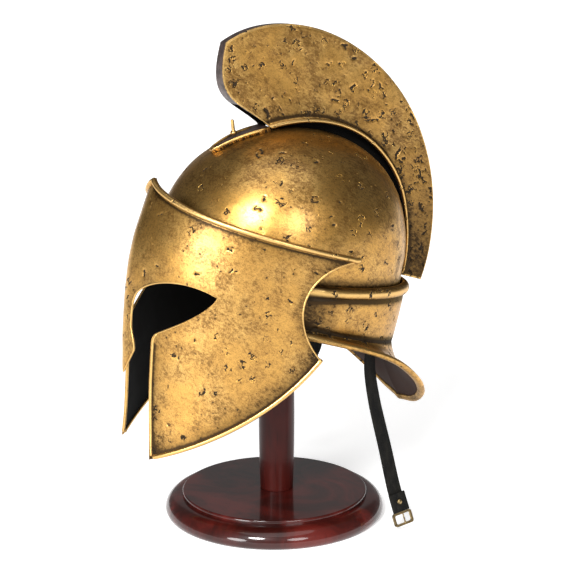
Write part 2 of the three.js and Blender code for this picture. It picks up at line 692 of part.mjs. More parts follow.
// The base: a flat foot, a round moulding, a fine step and a level top.
function standBase() {
  const { baseRadius, baseHeight } = STAND;
  const plateRadius = baseRadius - 17;
  const moulding = range(6).map((i) => {
    const a = (i / 5) * (Math.PI / 2);
    return [mix(plateRadius + 2.5, baseRadius, Math.cos(a)), mix(5, baseHeight - 4.2, Math.sin(a))];
  });
  const profile = [
    [0, 0],
    [baseRadius - 2.5, 0],
    [baseRadius - 0.8, 2],
    ...moulding,
    [plateRadius - 0.6, baseHeight - 4.2],
    [plateRadius - 0.6, baseHeight - 3],
    [plateRadius, baseHeight - 2.6],
    [plateRadius, baseHeight - 0.7],
    [plateRadius - 0.7, baseHeight],
    [0, baseHeight],
  ];
  return turned(profile, 36);
}
addPiece("stand_base", standBase(), mahogany);

const POST_FORM = [
  { z: 23.1, radius: 16.2 },
  { z: 60, radius: 17.2 },
  { z: 110, radius: 17.5 },
  { z: 200, radius: 17 },
  { z: 318, radius: 15.3 },
];
function standPost() {
  const foot = STAND.baseHeight + GAP;
  const wall = [foot, 42, 65, 110, 200, STAND.postTop].map((z) => [smooth(POST_FORM, "z", "radius", z), z]);
  return turned([[0, foot], ...wall, [0, STAND.postTop]], 20).translate(0, STAND.postY, 0);
}
addPiece("stand_post", standPost(), mahogany);

// The head of the stand, a turned knob that carries the skull from inside.
function standHead() {
  const { headRadius, headTop, postTop } = STAND;
  const crown = 70;
  const low = postTop + GAP;
  const round = range(6).map((i) => {
    const radius = headRadius * (1 - i / 5);
    return [radius, headTop - crown + Math.sqrt(crown ** 2 - radius ** 2)];
  });
  const cup = [[0, low], [20, low], [34, low + 14], [headRadius - 2, low + 27], [headRadius, low + 33]];
  return turned([...cup, ...round], 24).translate(0, STAND.postY, 0);
}
addPiece("stand_head", standHead(), mahogany);

export default helmet;
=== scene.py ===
import math

import bmesh
import bpy
import numpy as np
from mathutils import Matrix, Vector, noise


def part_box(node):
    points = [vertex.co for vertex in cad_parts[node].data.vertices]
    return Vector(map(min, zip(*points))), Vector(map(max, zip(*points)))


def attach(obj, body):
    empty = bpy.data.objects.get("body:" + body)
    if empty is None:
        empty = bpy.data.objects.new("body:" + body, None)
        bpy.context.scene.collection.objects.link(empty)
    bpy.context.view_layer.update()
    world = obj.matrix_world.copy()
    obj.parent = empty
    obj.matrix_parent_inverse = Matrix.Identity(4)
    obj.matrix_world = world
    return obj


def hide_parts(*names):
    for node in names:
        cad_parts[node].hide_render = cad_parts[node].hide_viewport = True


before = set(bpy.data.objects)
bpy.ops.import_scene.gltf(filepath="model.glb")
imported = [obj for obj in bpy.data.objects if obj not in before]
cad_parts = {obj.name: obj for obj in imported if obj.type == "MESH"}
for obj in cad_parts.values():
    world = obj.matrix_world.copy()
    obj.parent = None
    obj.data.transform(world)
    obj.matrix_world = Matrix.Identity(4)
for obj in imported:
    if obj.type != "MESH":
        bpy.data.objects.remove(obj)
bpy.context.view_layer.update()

# ---------------- Studio
# A pale floor and soft light from all round: the key light falls on the brow's left, a weaker one on the left side,
# and the rest keep the floor bright. The camera stands at the helmet's left, a little higher than its crest.
CAMERA_AZIMUTH, CAMERA_DISTANCE, CAMERA_HEIGHT = 65.44, 1.39, 0.5444
CAMERA_AIM = Vector((0.0056, 0.0122, 0.2253))
CAMERA_LENS, CAMERA_SENSOR = 92.5, 36
ROOM_LIGHT = (0.118, 0.116, 0.114, 1)
FLOOR_RADIUS, FLOOR_GLOW = 40, 0.56


def around(azimuth, elevation, distance):
    """A place round the object: azimuth 0 is before the face, and 90 is at its left."""
    a, e = math.radians(azimuth), math.radians(elevation)
    return Vector((math.sin(a) * math.cos(e), -math.cos(a) * math.cos(e), math.sin(e))) * distance


def facing(place, aim):
    return (place - aim).to_track_quat("Z", "Y").to_euler()


def added(name, data):
    """A new object in the scene."""
    made = bpy.data.objects.new(name, data)
    bpy.context.scene.collection.objects.link(made)
    return made


camera = added("camera", bpy.data.cameras.new("camera"))
camera.data.lens = CAMERA_LENS
camera.data.sensor_width = CAMERA_SENSOR
camera.location = around(CAMERA_AZIMUTH, 0, CAMERA_DISTANCE) + Vector((0, 0, CAMERA_HEIGHT))
camera.rotation_euler = facing(camera.location, CAMERA_AIM)
bpy.context.scene.camera = camera

# Each light is a distant soft box: (azimuth, elevation), how wide it looks in degrees, and its strength.
SOFT_BOXES = {
    "key_light": ((45, 36), 15, 2.9),
    "low_key_light": ((27, 10), 20, 1.5),
    "side_light": ((90, 25), 20, 0.95),
    "top_light": ((70, 76), 50, 0.8),
    "back_wall": ((245, 14), 50, 0.07),
}
for name, (direction, width, strength) in SOFT_BOXES.items():
    soft_box = added(name, bpy.data.lights.new(name, "SUN"))
    soft_box.data.angle = math.radians(width)
    soft_box.data.energy = strength
    soft_box.location = around(*direction, 2)
    soft_box.rotation_euler = facing(soft_box.location, Vector((0, 0, 0)))


class Value:
    """A shader socket on which Python's operators add Math nodes."""

    def __init__(self, finish, socket):
        self.finish, self.socket = finish, socket

    def math(self, operation, first, second=0.0):
        return self.finish.node("Math", {"operation": operation}, {0: first, 1: second})

    def __add__(self, other):
        return self.math("ADD", self, other)

    def __sub__(self, other):
        return self.math("SUBTRACT", self, other)

    def __rsub__(self, other):
        return self.math("SUBTRACT", other, self)

    def __mul__(self, other):
        return self.math("MULTIPLY", self, other)

    __radd__ = __add__
    __rmul__ = __mul__

    def rise(self, low, high):
        """A smooth rise from 0 at the low value to 1 at the high one, or a fall if low is over high."""
        limits = {"Value": self, "From Min": low, "From Max": high}
        return self.finish.node("MapRange", {"interpolation_type": "SMOOTHSTEP"}, limits)

    def limited(self):
        return self.finish.node("Clamp", {}, {"Value": self})


class Finish:
    """A material: its shader's constant values, and the nodes that vary over the surface."""

    def __init__(self, name, constants):
        self.material = bpy.data.materials.new(name)
        self.material.use_nodes = True
        self.tree = self.material.node_tree
        self.shader = self.tree.nodes["Principled BSDF"]
        for socket, value in constants.items():
            self.shader.inputs[socket].default_value = value

    def node(self, kind, settings, inputs, output=0):
        made = self.tree.nodes.new("ShaderNode" + kind)
        for key, value in settings.items():
            setattr(made, key, value)
        for key, value in inputs.items():
            if isinstance(value, Value):
                self.tree.links.new(value.socket, made.inputs[key])
            else:
                made.inputs[key].default_value = value
        return Value(self, made.outputs[output])

    def place(self):
        return self.node("TexCoord", {}, {}, "Object")

    def stretched(self, scale, turn=(0, 0, 0), at=None):
        """Places turned and then drawn out, for grain that runs one way."""
        inputs = {"Vector": at or self.place(), "Scale": scale, "Rotation": turn}
        return self.node("Mapping", {"vector_type": "TEXTURE"}, inputs)

    def noise(self, scale, detail=4, roughness=0.6, distortion=0.0, at=None, output=0):
        inputs = {"Vector": at or self.place(), "Scale": scale, "Detail": detail}
        inputs |= {"Roughness": roughness, "Distortion": distortion}
        return self.node("TexNoise", {}, inputs, output)

    def wandering(self, scale, reach):
        """Places pushed about by a noise, so that round cells turn ragged."""
        push = self.noise(scale, 3, 0.6, output="Color")
        centred = self.node("VectorMath", {"operation": "SUBTRACT"}, {0: push, 1: (0.5, 0.5, 0.5)})
        moved = self.node("VectorMath", {"operation": "SCALE"}, {0: centred, "Scale": reach})
        return self.node("VectorMath", {"operation": "ADD"}, {0: self.place(), 1: moved})

    def cells(self, scale, at, output="Distance"):
        return self.node("TexVoronoi", {}, {"Vector": at, "Scale": scale}, output)

    def spots(self, scale, at, size, kept):
        """A spot in some of the cells: how it rises from its edge inwards, and which cells keep theirs."""
        return self.cells(scale, at).rise(*size) * self.cells(scale, at, "Color").rise(*kept)

    def mask(self, name):
        """A mask that the mesh carries at its points."""
        return self.node("Attribute", {"attribute_name": name}, {}, "Fac")

    def mixed(self, part, first, second):
        settings = {"data_type": "RGBA", "clamp_factor": True}
        return self.node("Mix", settings, {0: part, 6: first, 7: second}, 2)

    def surface(self, colour, roughness, relief=None, depth=0.0, others=()):
        """Joins what varies to the shader. A relief of 1 stands up by the depth, in metres."""
        sockets = {"Base Color": colour, "Roughness": roughness} | dict(others)
        if relief:
            heights = {"Height": relief, "Distance": depth, "Strength": 1.0}
            sockets["Normal"] = self.node("Bump", {}, heights)
        for socket, value in sockets.items():
            self.tree.links.new(value.socket, self.shader.inputs[socket])
        return self.material


def rgb(red, green, blue):
    return (red, green, blue, 1.0)


room = bpy.data.worlds.new("studio")
bpy.context.scene.world = room
room.use_nodes = True
room.node_tree.nodes["Background"].inputs["Color"].default_value = ROOM_LIGHT
bpy.context.scene.view_settings.view_transform = "Standard"

bpy.ops.mesh.primitive_circle_add(vertices=96, radius=FLOOR_RADIUS, fill_type="NGON")
floor = bpy.context.object
floor.name = "floor"
pale = {"Base Color": rgb(0.8, 0.8, 0.8), "Roughness": 0.8, "Emission Color": rgb(1, 1, 1)}
floor.data.materials.append(Finish("pale_floor", pale | {"Emission Strength": FLOOR_GLOW}).material)

# ---------------- Skull
# The bowl of the helmet: one sheet of bronze raised to a dome a little longer than it is wide, beaten over by hand
# and stained dark. Its inside is painted black. Its front is cut away behind the face plate.
MM = 0.001
SHEET = 1.5
SKULL_MIDDLE = (0.0, 8.0, 269.0)
SKULL_WIDE, SKULL_LONG, SKULL_TALL = 108.0, 122.0, 111.0
SKULL_BROW, SKULL_CUT = 276.0, -34.0
SKULL_WALL = [(0, 0), (0.25, 0.8), (0.55, 3.4), (1, 5.8)]
SKULL_TURNS = 460
# Lines round the neck rise towards the face: how far out of the skull, height at the middle, fall per mm backwards.
NECK_BEAD = (-2.0, 243.3, 0.155)
RIM_TUCK = 7.0


def bronze(name, pitting, stain, contrast=1.0):
    """Antique bronze: gold where it is rubbed, brown where it isn't, with dark corroded pits, and painted shade
    where the mesh's mask asks for it.
    """
    constants = {"Metallic": 1.0, "Specular Tint": rgb(0.90, 0.72, 0.48), "Coat Roughness": 0.3, "Coat IOR": 1.5}
    finish = Finish(name, constants)
    clouds = finish.noise(15, 3, 0.55)
    patches = finish.noise(60, 5, 0.7, 0.5)
    rubbed_way = finish.stretched((1, 2.2, 1), (math.radians(-30), 0, 0))
    mottle = finish.noise(430, 4, 0.75, at=rubbed_way)
    speckle = finish.noise(900, 2, 0.6)
    ragged = finish.wandering(300, 0.003)
    stroke = finish.noise(165, 2, 0.5)
    bare = 1 - 0.5 * pitting
    groove = stroke.rise(0.42, 0.48) * stroke.rise(0.56, 0.495)
    groove = groove * finish.spots(95, ragged, (0.44, 0.34), (bare, bare + 0.02))
    dots = finish.spots(430 - 220 * pitting, ragged, (0.38, 0.20), (0.74, 0.77))
    dots = dots * patches.rise(0.62 - 0.22 * pitting, 0.68 - 0.22 * pitting)
    sunk = (finish.mask("pit") + mottle * 0.8).rise(0.78, 0.98)
    # The hollows are the corroded pits, and also painted shade, near black, where the mesh's mask passes 1.3.
    hollows = (groove.rise(0.3, 0.75) + dots * 0.8 + sunk + finish.mask("recess").rise(1.3, 2.0)).limited()
    tone = patches * 0.34 + mottle * 0.40 + clouds * 0.26
    soft = 0.05 / contrast
    tarnish = tone.rise(0.49 - stain - soft, 0.53 - stain + soft) * 0.85 + speckle.rise(0.50, 0.62) * 0.42
    soot = tone.rise(0.52 - stain, 0.64 - stain) * 0.5
    # The mesh's mask paints shade, with some patina, into corners, beside beads and under overlapping parts, on top
    # of the random soot.
    recess = (soot + finish.mask("recess") * (mottle + 0.6)).limited()
    wear = finish.mask("wear")

    gold = finish.mixed(clouds.rise(0.38, 0.62), rgb(0.62, 0.335, 0.070), rgb(0.75, 0.465, 0.135))
    stained = finish.mixed(tarnish.limited(), gold, rgb(0.27, 0.130, 0.023))
    shaded = finish.mixed(recess, stained, rgb(0.045, 0.025, 0.009))
    rubbed = finish.mixed(wear, shaded, rgb(0.83, 0.53, 0.18))
    colour = finish.mixed(hollows, rubbed, rgb(0.014, 0.008, 0.004))
    roughness = 0.33 + tarnish * 0.08 + recess * 0.12 + hollows * 0.3 - wear * 0.06
    relief = mottle * 0.18 + speckle * 0.10 - tarnish * 0.04 - groove - dots * 0.7
    others = {"Metallic": 1 - hollows * 0.75, "Coat Weight": 0.62 - hollows * 0.55 - recess * 0.5}
    return finish.surface(colour, roughness, relief, 0.0008, others)


def dull_paint(name, dark, light):
    """Matt paint on the inside of the sheets, brushed on thinly."""
    finish = Finish(name, {"Specular IOR Level": 0.04})
    cloud = finish.noise(60, 5, 0.6)
    colour = finish.mixed(cloud, rgb(*dark), rgb(*light))
    return finish.surface(colour, 0.5 + cloud * 0.25, finish.noise(900, 4, 0.7), 0.00015)


INSIDE = dull_paint("black_paint", (0.001, 0.001, 0.001), (0.004, 0.0035, 0.003))


def table_curve(table, at):
    """A smooth curve through a table's rows of (key, value), level beyond its ends."""
    keys, values = (np.array(column, float) for column in zip(*table))
    ahead = np.append(np.arange(1, len(keys)), len(keys) - 1)
    behind = np.append(0, np.arange(len(keys) - 1))
    slopes = (values[ahead] - values[behind]) / (keys[ahead] - keys[behind])
    at = np.clip(at, keys[0], keys[-1])
    i = np.clip(np.searchsorted(keys, at, side="right") - 1, 0, len(keys) - 2)
    span, rise = keys[i + 1] - keys[i], values[i + 1] - values[i]
    t = (at - keys[i]) / span
    start, end = slopes[i] * span - rise, rise - slopes[i + 1] * span
    return values[i] + t * rise + t * (1 - t) * ((1 - t) * start + t * end)


def mixed(a, b, t):
    return a + (b - a) * t


def share(t):
    """Kept between 0 and 1."""
    return np.clip(t, 0, 1)


def points(x, y, z):
    return np.stack(np.broadcast_arrays(x, y, z), -1).astype(float)


def unit(vectors):
    return vectors / np.maximum(np.linalg.norm(vectors, axis=-1, keepdims=True), 1e-12)


def normals_of(surface, rows, columns):
    """Normals of a surface given as a function of row and column values."""
    step = 1e-3
    along = surface(rows + step, columns) - surface(rows - step, columns)
    across = surface(rows, columns + step) - surface(rows, columns - step)
    return unit(np.cross(along, across))


def near(value, middle, width):
    """1 where a value is at the middle, falling away within about the width on both sides."""
    return np.exp(-(((value - middle) / width) ** 2))


def smooth_step(t):
    return t * t * (3 - 2 * t)


def half_round(t, radius):
    """How proud a half-round bead is, at a share t of its width."""
    return 2 * radius * np.sqrt(np.clip(t * (1 - t), 0, None))


def joined(*lines):
    """Lines of points or steps, each of which starts where the last one ends."""
    return np.concatenate([lines[0]] + [line[1:] for line in lines[1:]])


def bead_steps(start, count):
    """Steps across a bead, closer together towards its edges."""
    return start + (1 - np.cos(np.linspace(0, math.pi, count))) / 2


class Patchwork:
    """A closed mesh put together from grids of points in millimetres that share their borders."""

    def __init__(self):
        self.points, self.faces, self.slots, self.masks, self.count = [], [], [], [], 0

    def grid(self, grid, slot=0, closed=False, **masks):
        rows, columns = grid.shape[:2]
        index = self.count + np.arange(rows * columns).reshape(rows, columns)
        if closed:
            index = np.vstack([index, index[:1]])
        corners = [index[:-1, :-1], index[1:, :-1], index[1:, 1:], index[:-1, 1:]]
        faces = np.stack(corners, -1).reshape(-1, 4)
        self.add(grid.reshape(-1, 3), faces.tolist(), slot, masks)

    def strip(self, first, second, slot=0, closed=False, **masks):
        self.grid(np.stack([first, second], 1), slot, closed, **masks)

    def cap(self, outline, slot=0):
        self.add(outline, [(self.count + np.arange(len(outline))).tolist()], slot, {})

    def bar(self, loops, **masks):
        """A closed bar through a row of loops, with a cap at both ends."""
        self.grid(loops.transpose(1, 0, 2), 0, True, **masks)
        self.cap(loops[0][::-1])
        self.cap(loops[-1])

    def edges(self, face, back):
        """Closes a sheet between the borders of its face and its back."""
        for k in (0, -1):
            self.strip(face[:, k], back[:, k])
        for k in (0, -1):
            self.cap(np.concatenate([face[k], back[k][::-1]]))

    def add(self, places, faces, slot, masks):
        self.points.append(places)
        self.faces += faces
        self.slots += [slot] * len(faces)
        none = np.zeros(len(places))
        self.masks.append({name: np.ravel(masks.get(name, none)) for name in ("pit", "recess", "wear")})
        self.count += len(places)

    def made(self, name, finishes, sharp=35.0):
        """The mesh object, with its finishes, its masks, and faces that are smooth up to the sharp angle."""
        mesh = bpy.data.meshes.new(name)
        mesh.from_pydata(np.concatenate(self.points) * MM, [], self.faces)
        mesh.polygons.foreach_set("material_index", self.slots)
        for mask in ("pit", "recess", "wear"):
            values = np.concatenate([m[mask] for m in self.masks]).astype(np.float32)
            mesh.attributes.new(mask, "FLOAT", "POINT").data.foreach_set("value", values)
        cleaned(mesh)
        for finish in finishes:
            mesh.materials.append(finish)
        made = added(name, mesh)
        smooth_faces(made, sharp)
        return made


def cleaned(mesh):
    """Joins the points that meet, and turns the faces outwards."""
    editing = bmesh.new()
    editing.from_mesh(mesh)
    bmesh.ops.remove_doubles(editing, verts=editing.verts, dist=2e-6)
    bmesh.ops.dissolve_degenerate(editing, edges=editing.edges, dist=1e-7)
    bmesh.ops.recalc_face_normals(editing, faces=editing.faces)
    editing.to_mesh(mesh)
    editing.free()


def smooth_faces(piece, sharp):
    piece.data.polygons.foreach_set("use_smooth", [True] * len(piece.data.polygons))
    piece.data.set_sharp_from_angle(angle=math.radians(sharp))


def beaten(grid, normals, seed, waves=((0.55, 46.0), (0.16, 15.0))):
    """Hand-beaten unevenness: each wave is (height, length) in millimetres."""
    lift = np.zeros(grid.shape[:2])
    for height, length in waves:
        shift = Vector((seed * 7.3, seed * 3.1, 0))
        flat = [noise.noise(Vector(p) / length + shift) for p in grid.reshape(-1, 3)]
        lift += height * np.array(flat).reshape(lift.shape)
    return grid + normals * lift[..., None]


def pitted(grid, normals, count, seed, where=lambda p: np.ones(len(p)), size=(1.3, 2.6)):
    """Pits sunk into a sheet, each a short crooked row of hollows: the sunk grid, and where they are."""
    rng = np.random.default_rng(seed)
    flat, out = grid.reshape(-1, 3).copy(), normals.reshape(-1, 3)
    picked = rng.choice(len(flat), count * 4, replace=False)
    picked = picked[rng.random(len(picked)) < where(flat[picked])][:count]
    sink, stain = np.zeros(len(flat)), np.zeros(len(flat))
    for centre, across in zip(flat[picked], out[picked]):
        radius = rng.uniform(*size) * (1.35 if rng.random() < 0.15 else 1)
        close = np.flatnonzero(np.abs(flat - centre).max(1) < 4 * radius)
        heading = unit(np.cross(across, rng.normal(size=3)))
        lobe = centre
        for _ in range(rng.integers(1, 5)):
            away = np.linalg.norm(flat[close] - lobe, axis=1) / (radius * rng.uniform(0.4, 0.75))
            bowl = share(1 - away**2)
            lip = 0.05 * share(1 - (2 * (away - 1.3)) ** 2)
            sink[close] = np.maximum(sink[close], 0.34 * radius * bowl) - lip
            stain[close] = np.maximum(stain[close], share(bowl * 1.4 - 0.15))
            heading = unit(heading + 0.9 * np.cross(across, heading) * rng.uniform(-0.2, 1))
            lobe = lobe + heading * radius * 0.75
    flat -= out * sink[:, None]
    return flat.reshape(grid.shape), stain.reshape(grid.shape[:2])


def grid_of(rows, columns):
    return np.meshgrid(rows, columns, indexing="ij")


def neck_height(line, y):
    return line[1] - line[2] * y


def skull_point(turn, fall, inside):
    """The skull by its turn from straight back and its fall over the dome (0 to 1) and down the wall (1 to 2)."""
    power = 2 / (2.1 + 0.1 * np.cos(turn))
    lean = np.minimum(fall, 1) * math.pi / 2
    spread, rise = np.sin(lean) ** power, share(np.cos(lean)) ** power
    drop = share(fall - 1)
    inset = inside + table_curve(SKULL_WALL, drop)
    x = (SKULL_WIDE - inset) * spread * np.sin(turn)
    y = SKULL_MIDDLE[1] + (SKULL_LONG - inset) * spread * np.cos(turn)
    rim = neck_height(NECK_BEAD, y) - RIM_TUCK
    cut = share((y - SKULL_CUT) / 4 + 0.5)
    rim = mixed(SKULL_BROW, rim, smooth_step(cut))
    z = SKULL_MIDDLE[2] + (SKULL_TALL - inside) * rise - drop * (SKULL_MIDDLE[2] - rim)
    return points(x, y, np.where(fall > 0.9, np.maximum(z, rim), z))


fall_steps = joined(np.linspace(0, 1, 150), np.linspace(1, 2, 34))
turns, falls = grid_of(np.arange(SKULL_TURNS) * 2 * math.pi / SKULL_TURNS, fall_steps)
skull_top = skull_point(turns, falls, 0)
skull_out = unit((skull_top - SKULL_MIDDLE) / np.square([SKULL_WIDE, SKULL_LONG, SKULL_TALL]))
skull_face = beaten(skull_top, skull_out, seed=1)


def skull_pit_places(p):
    """More pits on the front half of the dome than behind."""
    return np.clip(0.8 - p[:, 1] / 150, 0.18, 1) * (p[:, 2] > 235)


skull_face, skull_pits = pitted(skull_face, skull_out, 60, seed=11, where=skull_pit_places, size=(1.6, 3.0))
turns_in, falls_in = grid_of(turns[:, 0], joined(np.linspace(0, 1, 25), np.linspace(1, 2, 7)))
skull_inside = skull_point(turns_in, falls_in, SHEET)

# Painted shade darkens the skull beside the saddle, under the crest and under the plate's ear, and painted shade
# with patina lies in the corner above the nape guard's bead.
x, y, z = np.moveaxis(skull_top, -1, 0)
beside_crest = near(np.abs(x), 12, 15) * (y > -60) * (z > 265)
above_bead = near(z - neck_height(NECK_BEAD, y), 6, 7)
under_ear = share((-y - 2) / 26) * share((282 - z) / 14)
skull_recess = share(0.6 * beside_crest + 0.85 * above_bead + 0.8 * under_ear)

work = Patchwork()
work.grid(skull_face, 0, True, pit=skull_pits, recess=skull_recess)
work.grid(skull_inside, 1, True)
work.strip(skull_face[:, -1], skull_inside[:, -1], 1, True)
skull = work.made("helmet_skull", [bronze("skull_bronze", 0.5, 0.01, 0.7), INSIDE])
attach(skull, "root")
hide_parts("skull")

# ---------------- Nape guard
# A second sheet round the back of the head: a raised bead where it meets the skull, a band that narrows to a waist,
# and a flare that is rolled over a wire along its edge.
NAPE_EDGE_OUT = [(0, 12.4), (14, 17), (28, 20.5), (42, 20.5), (56, 15.5), (70, 9), (85, 0), (106, -8)]
NAPE_EDGE_Z = [(0, 96), (14, 102), (28, 118.5), (42, 141), (56, 164.5), (70, 180.5), (85, 191.5), (106, 202.5)]
NECK_WAIST = (-13.0, 203.5, 0.31)
NAPE_BEAD, NAPE_ROLL = 5.5, 3.0
NAPE_END, BEAD_FADE = 106.0, 12.0


def around_skull(angle, out, z):
    a = np.radians(angle)
    return points((SKULL_WIDE + out) * np.sin(a), SKULL_MIDDLE[1] + (SKULL_LONG + out) * np.cos(a), z)


def nape_surface(angle, down):
    """The guard's middle surface: bead (0 to 1), band (1 to 2), flare (2 to 3) and rolled edge (3 to 4)."""
    lines = (NECK_BEAD, NECK_WAIST)
    bead_z, waist_z = (neck_height(line, around_skull(angle, line[0], 0)[..., 1]) for line in lines)
    bead_end = bead_z - NAPE_BEAD
    bead = around_skull(angle, NECK_BEAD[0], mixed(bead_z + NAPE_BEAD, bead_end, down))
    t = share(down - 1)
    band = around_skull(angle, mixed(NECK_BEAD[0], NECK_WAIST[0], t**1.3), mixed(bead_end, waist_z, down - 1))
    edge_out = table_curve(NAPE_EDGE_OUT, np.abs(angle))
    edge_z = table_curve(NAPE_EDGE_Z, np.abs(angle))
    roll_start = 1 - 2 * NAPE_ROLL / np.hypot(edge_out - NECK_WAIST[0], edge_z - waist_z)
    t = np.where(down <= 3, (down - 2) * roll_start, mixed(roll_start, 1, down - 3))
    knee_out, knee_z = NECK_WAIST[0] + 1, mixed(waist_z, edge_z, 0.45)
    out = (1 - t) ** 2 * NECK_WAIST[0] + 2 * t * (1 - t) * knee_out + t * t * edge_out
    z = (1 - t) ** 2 * waist_z + 2 * t * (1 - t) * knee_z + t * t * edge_z
    flare = around_skull(angle, out, z)
    down = np.asarray(down)[..., None]
    return np.where(down <= 1, bead, np.where(down <= 2, band, flare))


down_steps = joined(bead_steps(0, 13), np.linspace(1, 2, 42), np.linspace(2, 3, 52), bead_steps(3, 13))
angles, downs = grid_of(np.linspace(-NAPE_END, NAPE_END, 330), down_steps)
fade = share((NAPE_END - np.abs(angles)) / BEAD_FADE)
rib = np.where(downs <= 1, half_round(downs, NAPE_BEAD), 0) * fade
roll = np.where(downs >= 3, half_round(downs - 3, NAPE_ROLL - SHEET / 2), 0)
nape_out = normals_of(nape_surface, angles, downs)
nape_mid = nape_surface(angles, downs)
plain_face = nape_mid + nape_out * (SHEET / 2 + rib + roll)[..., None]
worked_face = beaten(plain_face, nape_out, seed=2, waves=((0.5, 40), (0.14, 13)))
worked_face, nape_pits = pitted(worked_face, nape_out, 90, seed=21)
band_only = (downs > 1.12) & (downs < 2.9)
nape_face = np.where(band_only[..., None], worked_face, plain_face)
# Painted shade lies under the bead and on its lower half, in the waist, above the rolled edge and under the cheek; a
# dark band on the bead's top is a painted reflection of the dome.
nape_recess = 0.85 * share((np.abs(angles) - 82) / 16)
painted_dark_bands = ((1, 1.05, 0.09), (2.2, 1.98, 0.1), (0.8, 2.95, 0.08), (0.6, 0.1, 0.2), (0.7, 0.94, 0.14))
for depth, down, width in painted_dark_bands:
    nape_recess += depth * near(downs, down, width)
nape_wear = np.where(downs <= 1, np.sin(math.pi * share(downs)) ** 4 * 0.8, 0)
nape_wear += np.where(downs >= 3.1, 0.3, 0)

angles_in, downs_in = grid_of(angles[:, 0], joined(np.linspace(0, 3, 51), bead_steps(3, 9)))
roll_in = np.where(downs_in >= 3, half_round(downs_in - 3, NAPE_ROLL - SHEET / 2), 0)
nape_in = normals_of(nape_surface, angles_in, downs_in)
nape_back = nape_surface(angles_in, downs_in) - nape_in * (SHEET / 2 + roll_in)[..., None]

work = Patchwork()
work.grid(nape_face, 0, pit=nape_pits * band_only, recess=nape_recess, wear=nape_wear)
painted = int(np.searchsorted(downs_in[0], 2.95))
work.grid(nape_back[:, : painted + 1], 1)
bare_back = nape_back[:, painted:]
work.grid(bare_back, 0, recess=np.full(bare_back.shape[:2], 0.25))
work.edges(nape_face, nape_back)
brown_paint = dull_paint("brown_paint", (0.030, 0.016, 0.013), (0.070, 0.042, 0.034))
nape_guard = work.made("helmet_nape_guard", [bronze("nape_bronze", 0.7, 0.02, 0.6), brown_paint])
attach(nape_guard, "root")
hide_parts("nape_guard")

# ---------------- Face plate
# One sheet bent to a pointed arch round the face: the brow, the nasal and both cheek guards, with a round bead
# along the brow and wired hems on the cheeks. Eyes and mouth are sawn out of it.
PLATE_KEEL = [(64, 171), (110, 161), (160, 156), (205, 153.5), (250, 149), (285, 141), (312, 131), (340, 120)]
PLATE_HALF = [(64, 117), (110, 113.5), (160, 112.4), (205, 112.3), (250, 111.6), (285, 109.6), (312, 105)]
PLATE_HALF += [(340, 98)]
BROW_Z = [(0, 340), (0.08, 332), (0.25, 320), (0.5, 304.5), (0.75, 289), (1, 273)]
PLATE_HINGE, PLATE_TAIL, PLATE_BOTTOM = 8.0, 31.0, 64.0
RIM_BEAD, HEM_BEAD = 2.6, 2.3
KEEL_ROUND, KEEL_SLOPE = 5.0, math.tan(math.radians(20))


def arch_at(z):
    half = table_curve(PLATE_HALF, z)
    depth = table_curve(PLATE_KEEL, z) + PLATE_HINGE
    return half, (depth**2 + half**2) / (2 * half)


def softened(x):
    """How far the keel's rounding pulls the plate back."""
    return KEEL_SLOPE * (np.sqrt(x * x + KEEL_ROUND**2) - np.abs(x))


def plate_surface(along, z):
    """The plate's middle surface: along from the left tail (-1) over the keel (0) to the right tail (1)."""
    half, radius = arch_at(z)
    keel_turn, tail_turn = np.arccos(1 - half / radius), -np.arcsin((PLATE_TAIL - PLATE_HINGE) / radius)
    turn = mixed(keel_turn, tail_turn, np.abs(along))
    x = radius * np.cos(turn) - (radius - half)
    return points(-np.sign(along) * x, PLATE_HINGE - radius * np.sin(turn) + softened(x), z)


def plate_at_y(y, z, side):
    half, radius = arch_at(z)
    return points(side * (np.sqrt(radius**2 - (y - PLATE_HINGE) ** 2) - (radius - half)), y, z)


def plate_at_x(x, z, side):
    half, radius = arch_at(z)
    return points(side * x, PLATE_HINGE - np.sqrt(radius**2 - (x + radius - half) ** 2) + softened(x), z)


def plate(along, down):
    """The middle surface by steps down: the brow's bead (0 to 1) and the plate below it (1 to 2)."""
    top = table_curve(BROW_Z, np.abs(along))
    drop = 2 * RIM_BEAD
    z = np.where(down <= 1, top - drop * down, mixed(top - drop, PLATE_BOTTOM, down - 1))
    return plate_surface(along, z)


# The saw lines. In front view (x, z): half the opening, from the nasal's tip round the eye to the chin.
NASAL_TIP, NASAL_WIDE, NASAL_NECK = (0, 161), (14, 184), (9.5, 211)
EYE_INNER, EYE_OUTER, CHEEK_TOP, CHEEK_FRONT, CHIN = (15, 239), (80, 241), (38, 204), (33, 193), (45, 60)
# In side view (y, z): the tail over the ear, the hollow behind the cheek, its corner and the jaw.
TAIL, EAR_CORNER, JAW_TIP = (33, 269), (-5, 181), (-160, 78)
# How far each cut goes: the first from the front backwards, the second from side to side.
FACE_CUT, CHEEK_CUT = (-200, -62), (-150, 150)


def bezier(a, b, c, d, count):
    t = np.linspace(0, 1, count)[:, None]
    a, b, c, d = (np.array(p, float) for p in (a, b, c, d))
    return (1 - t) ** 3 * a + 3 * t * (1 - t) ** 2 * b + 3 * t * t * (1 - t) * c + t**3 * d


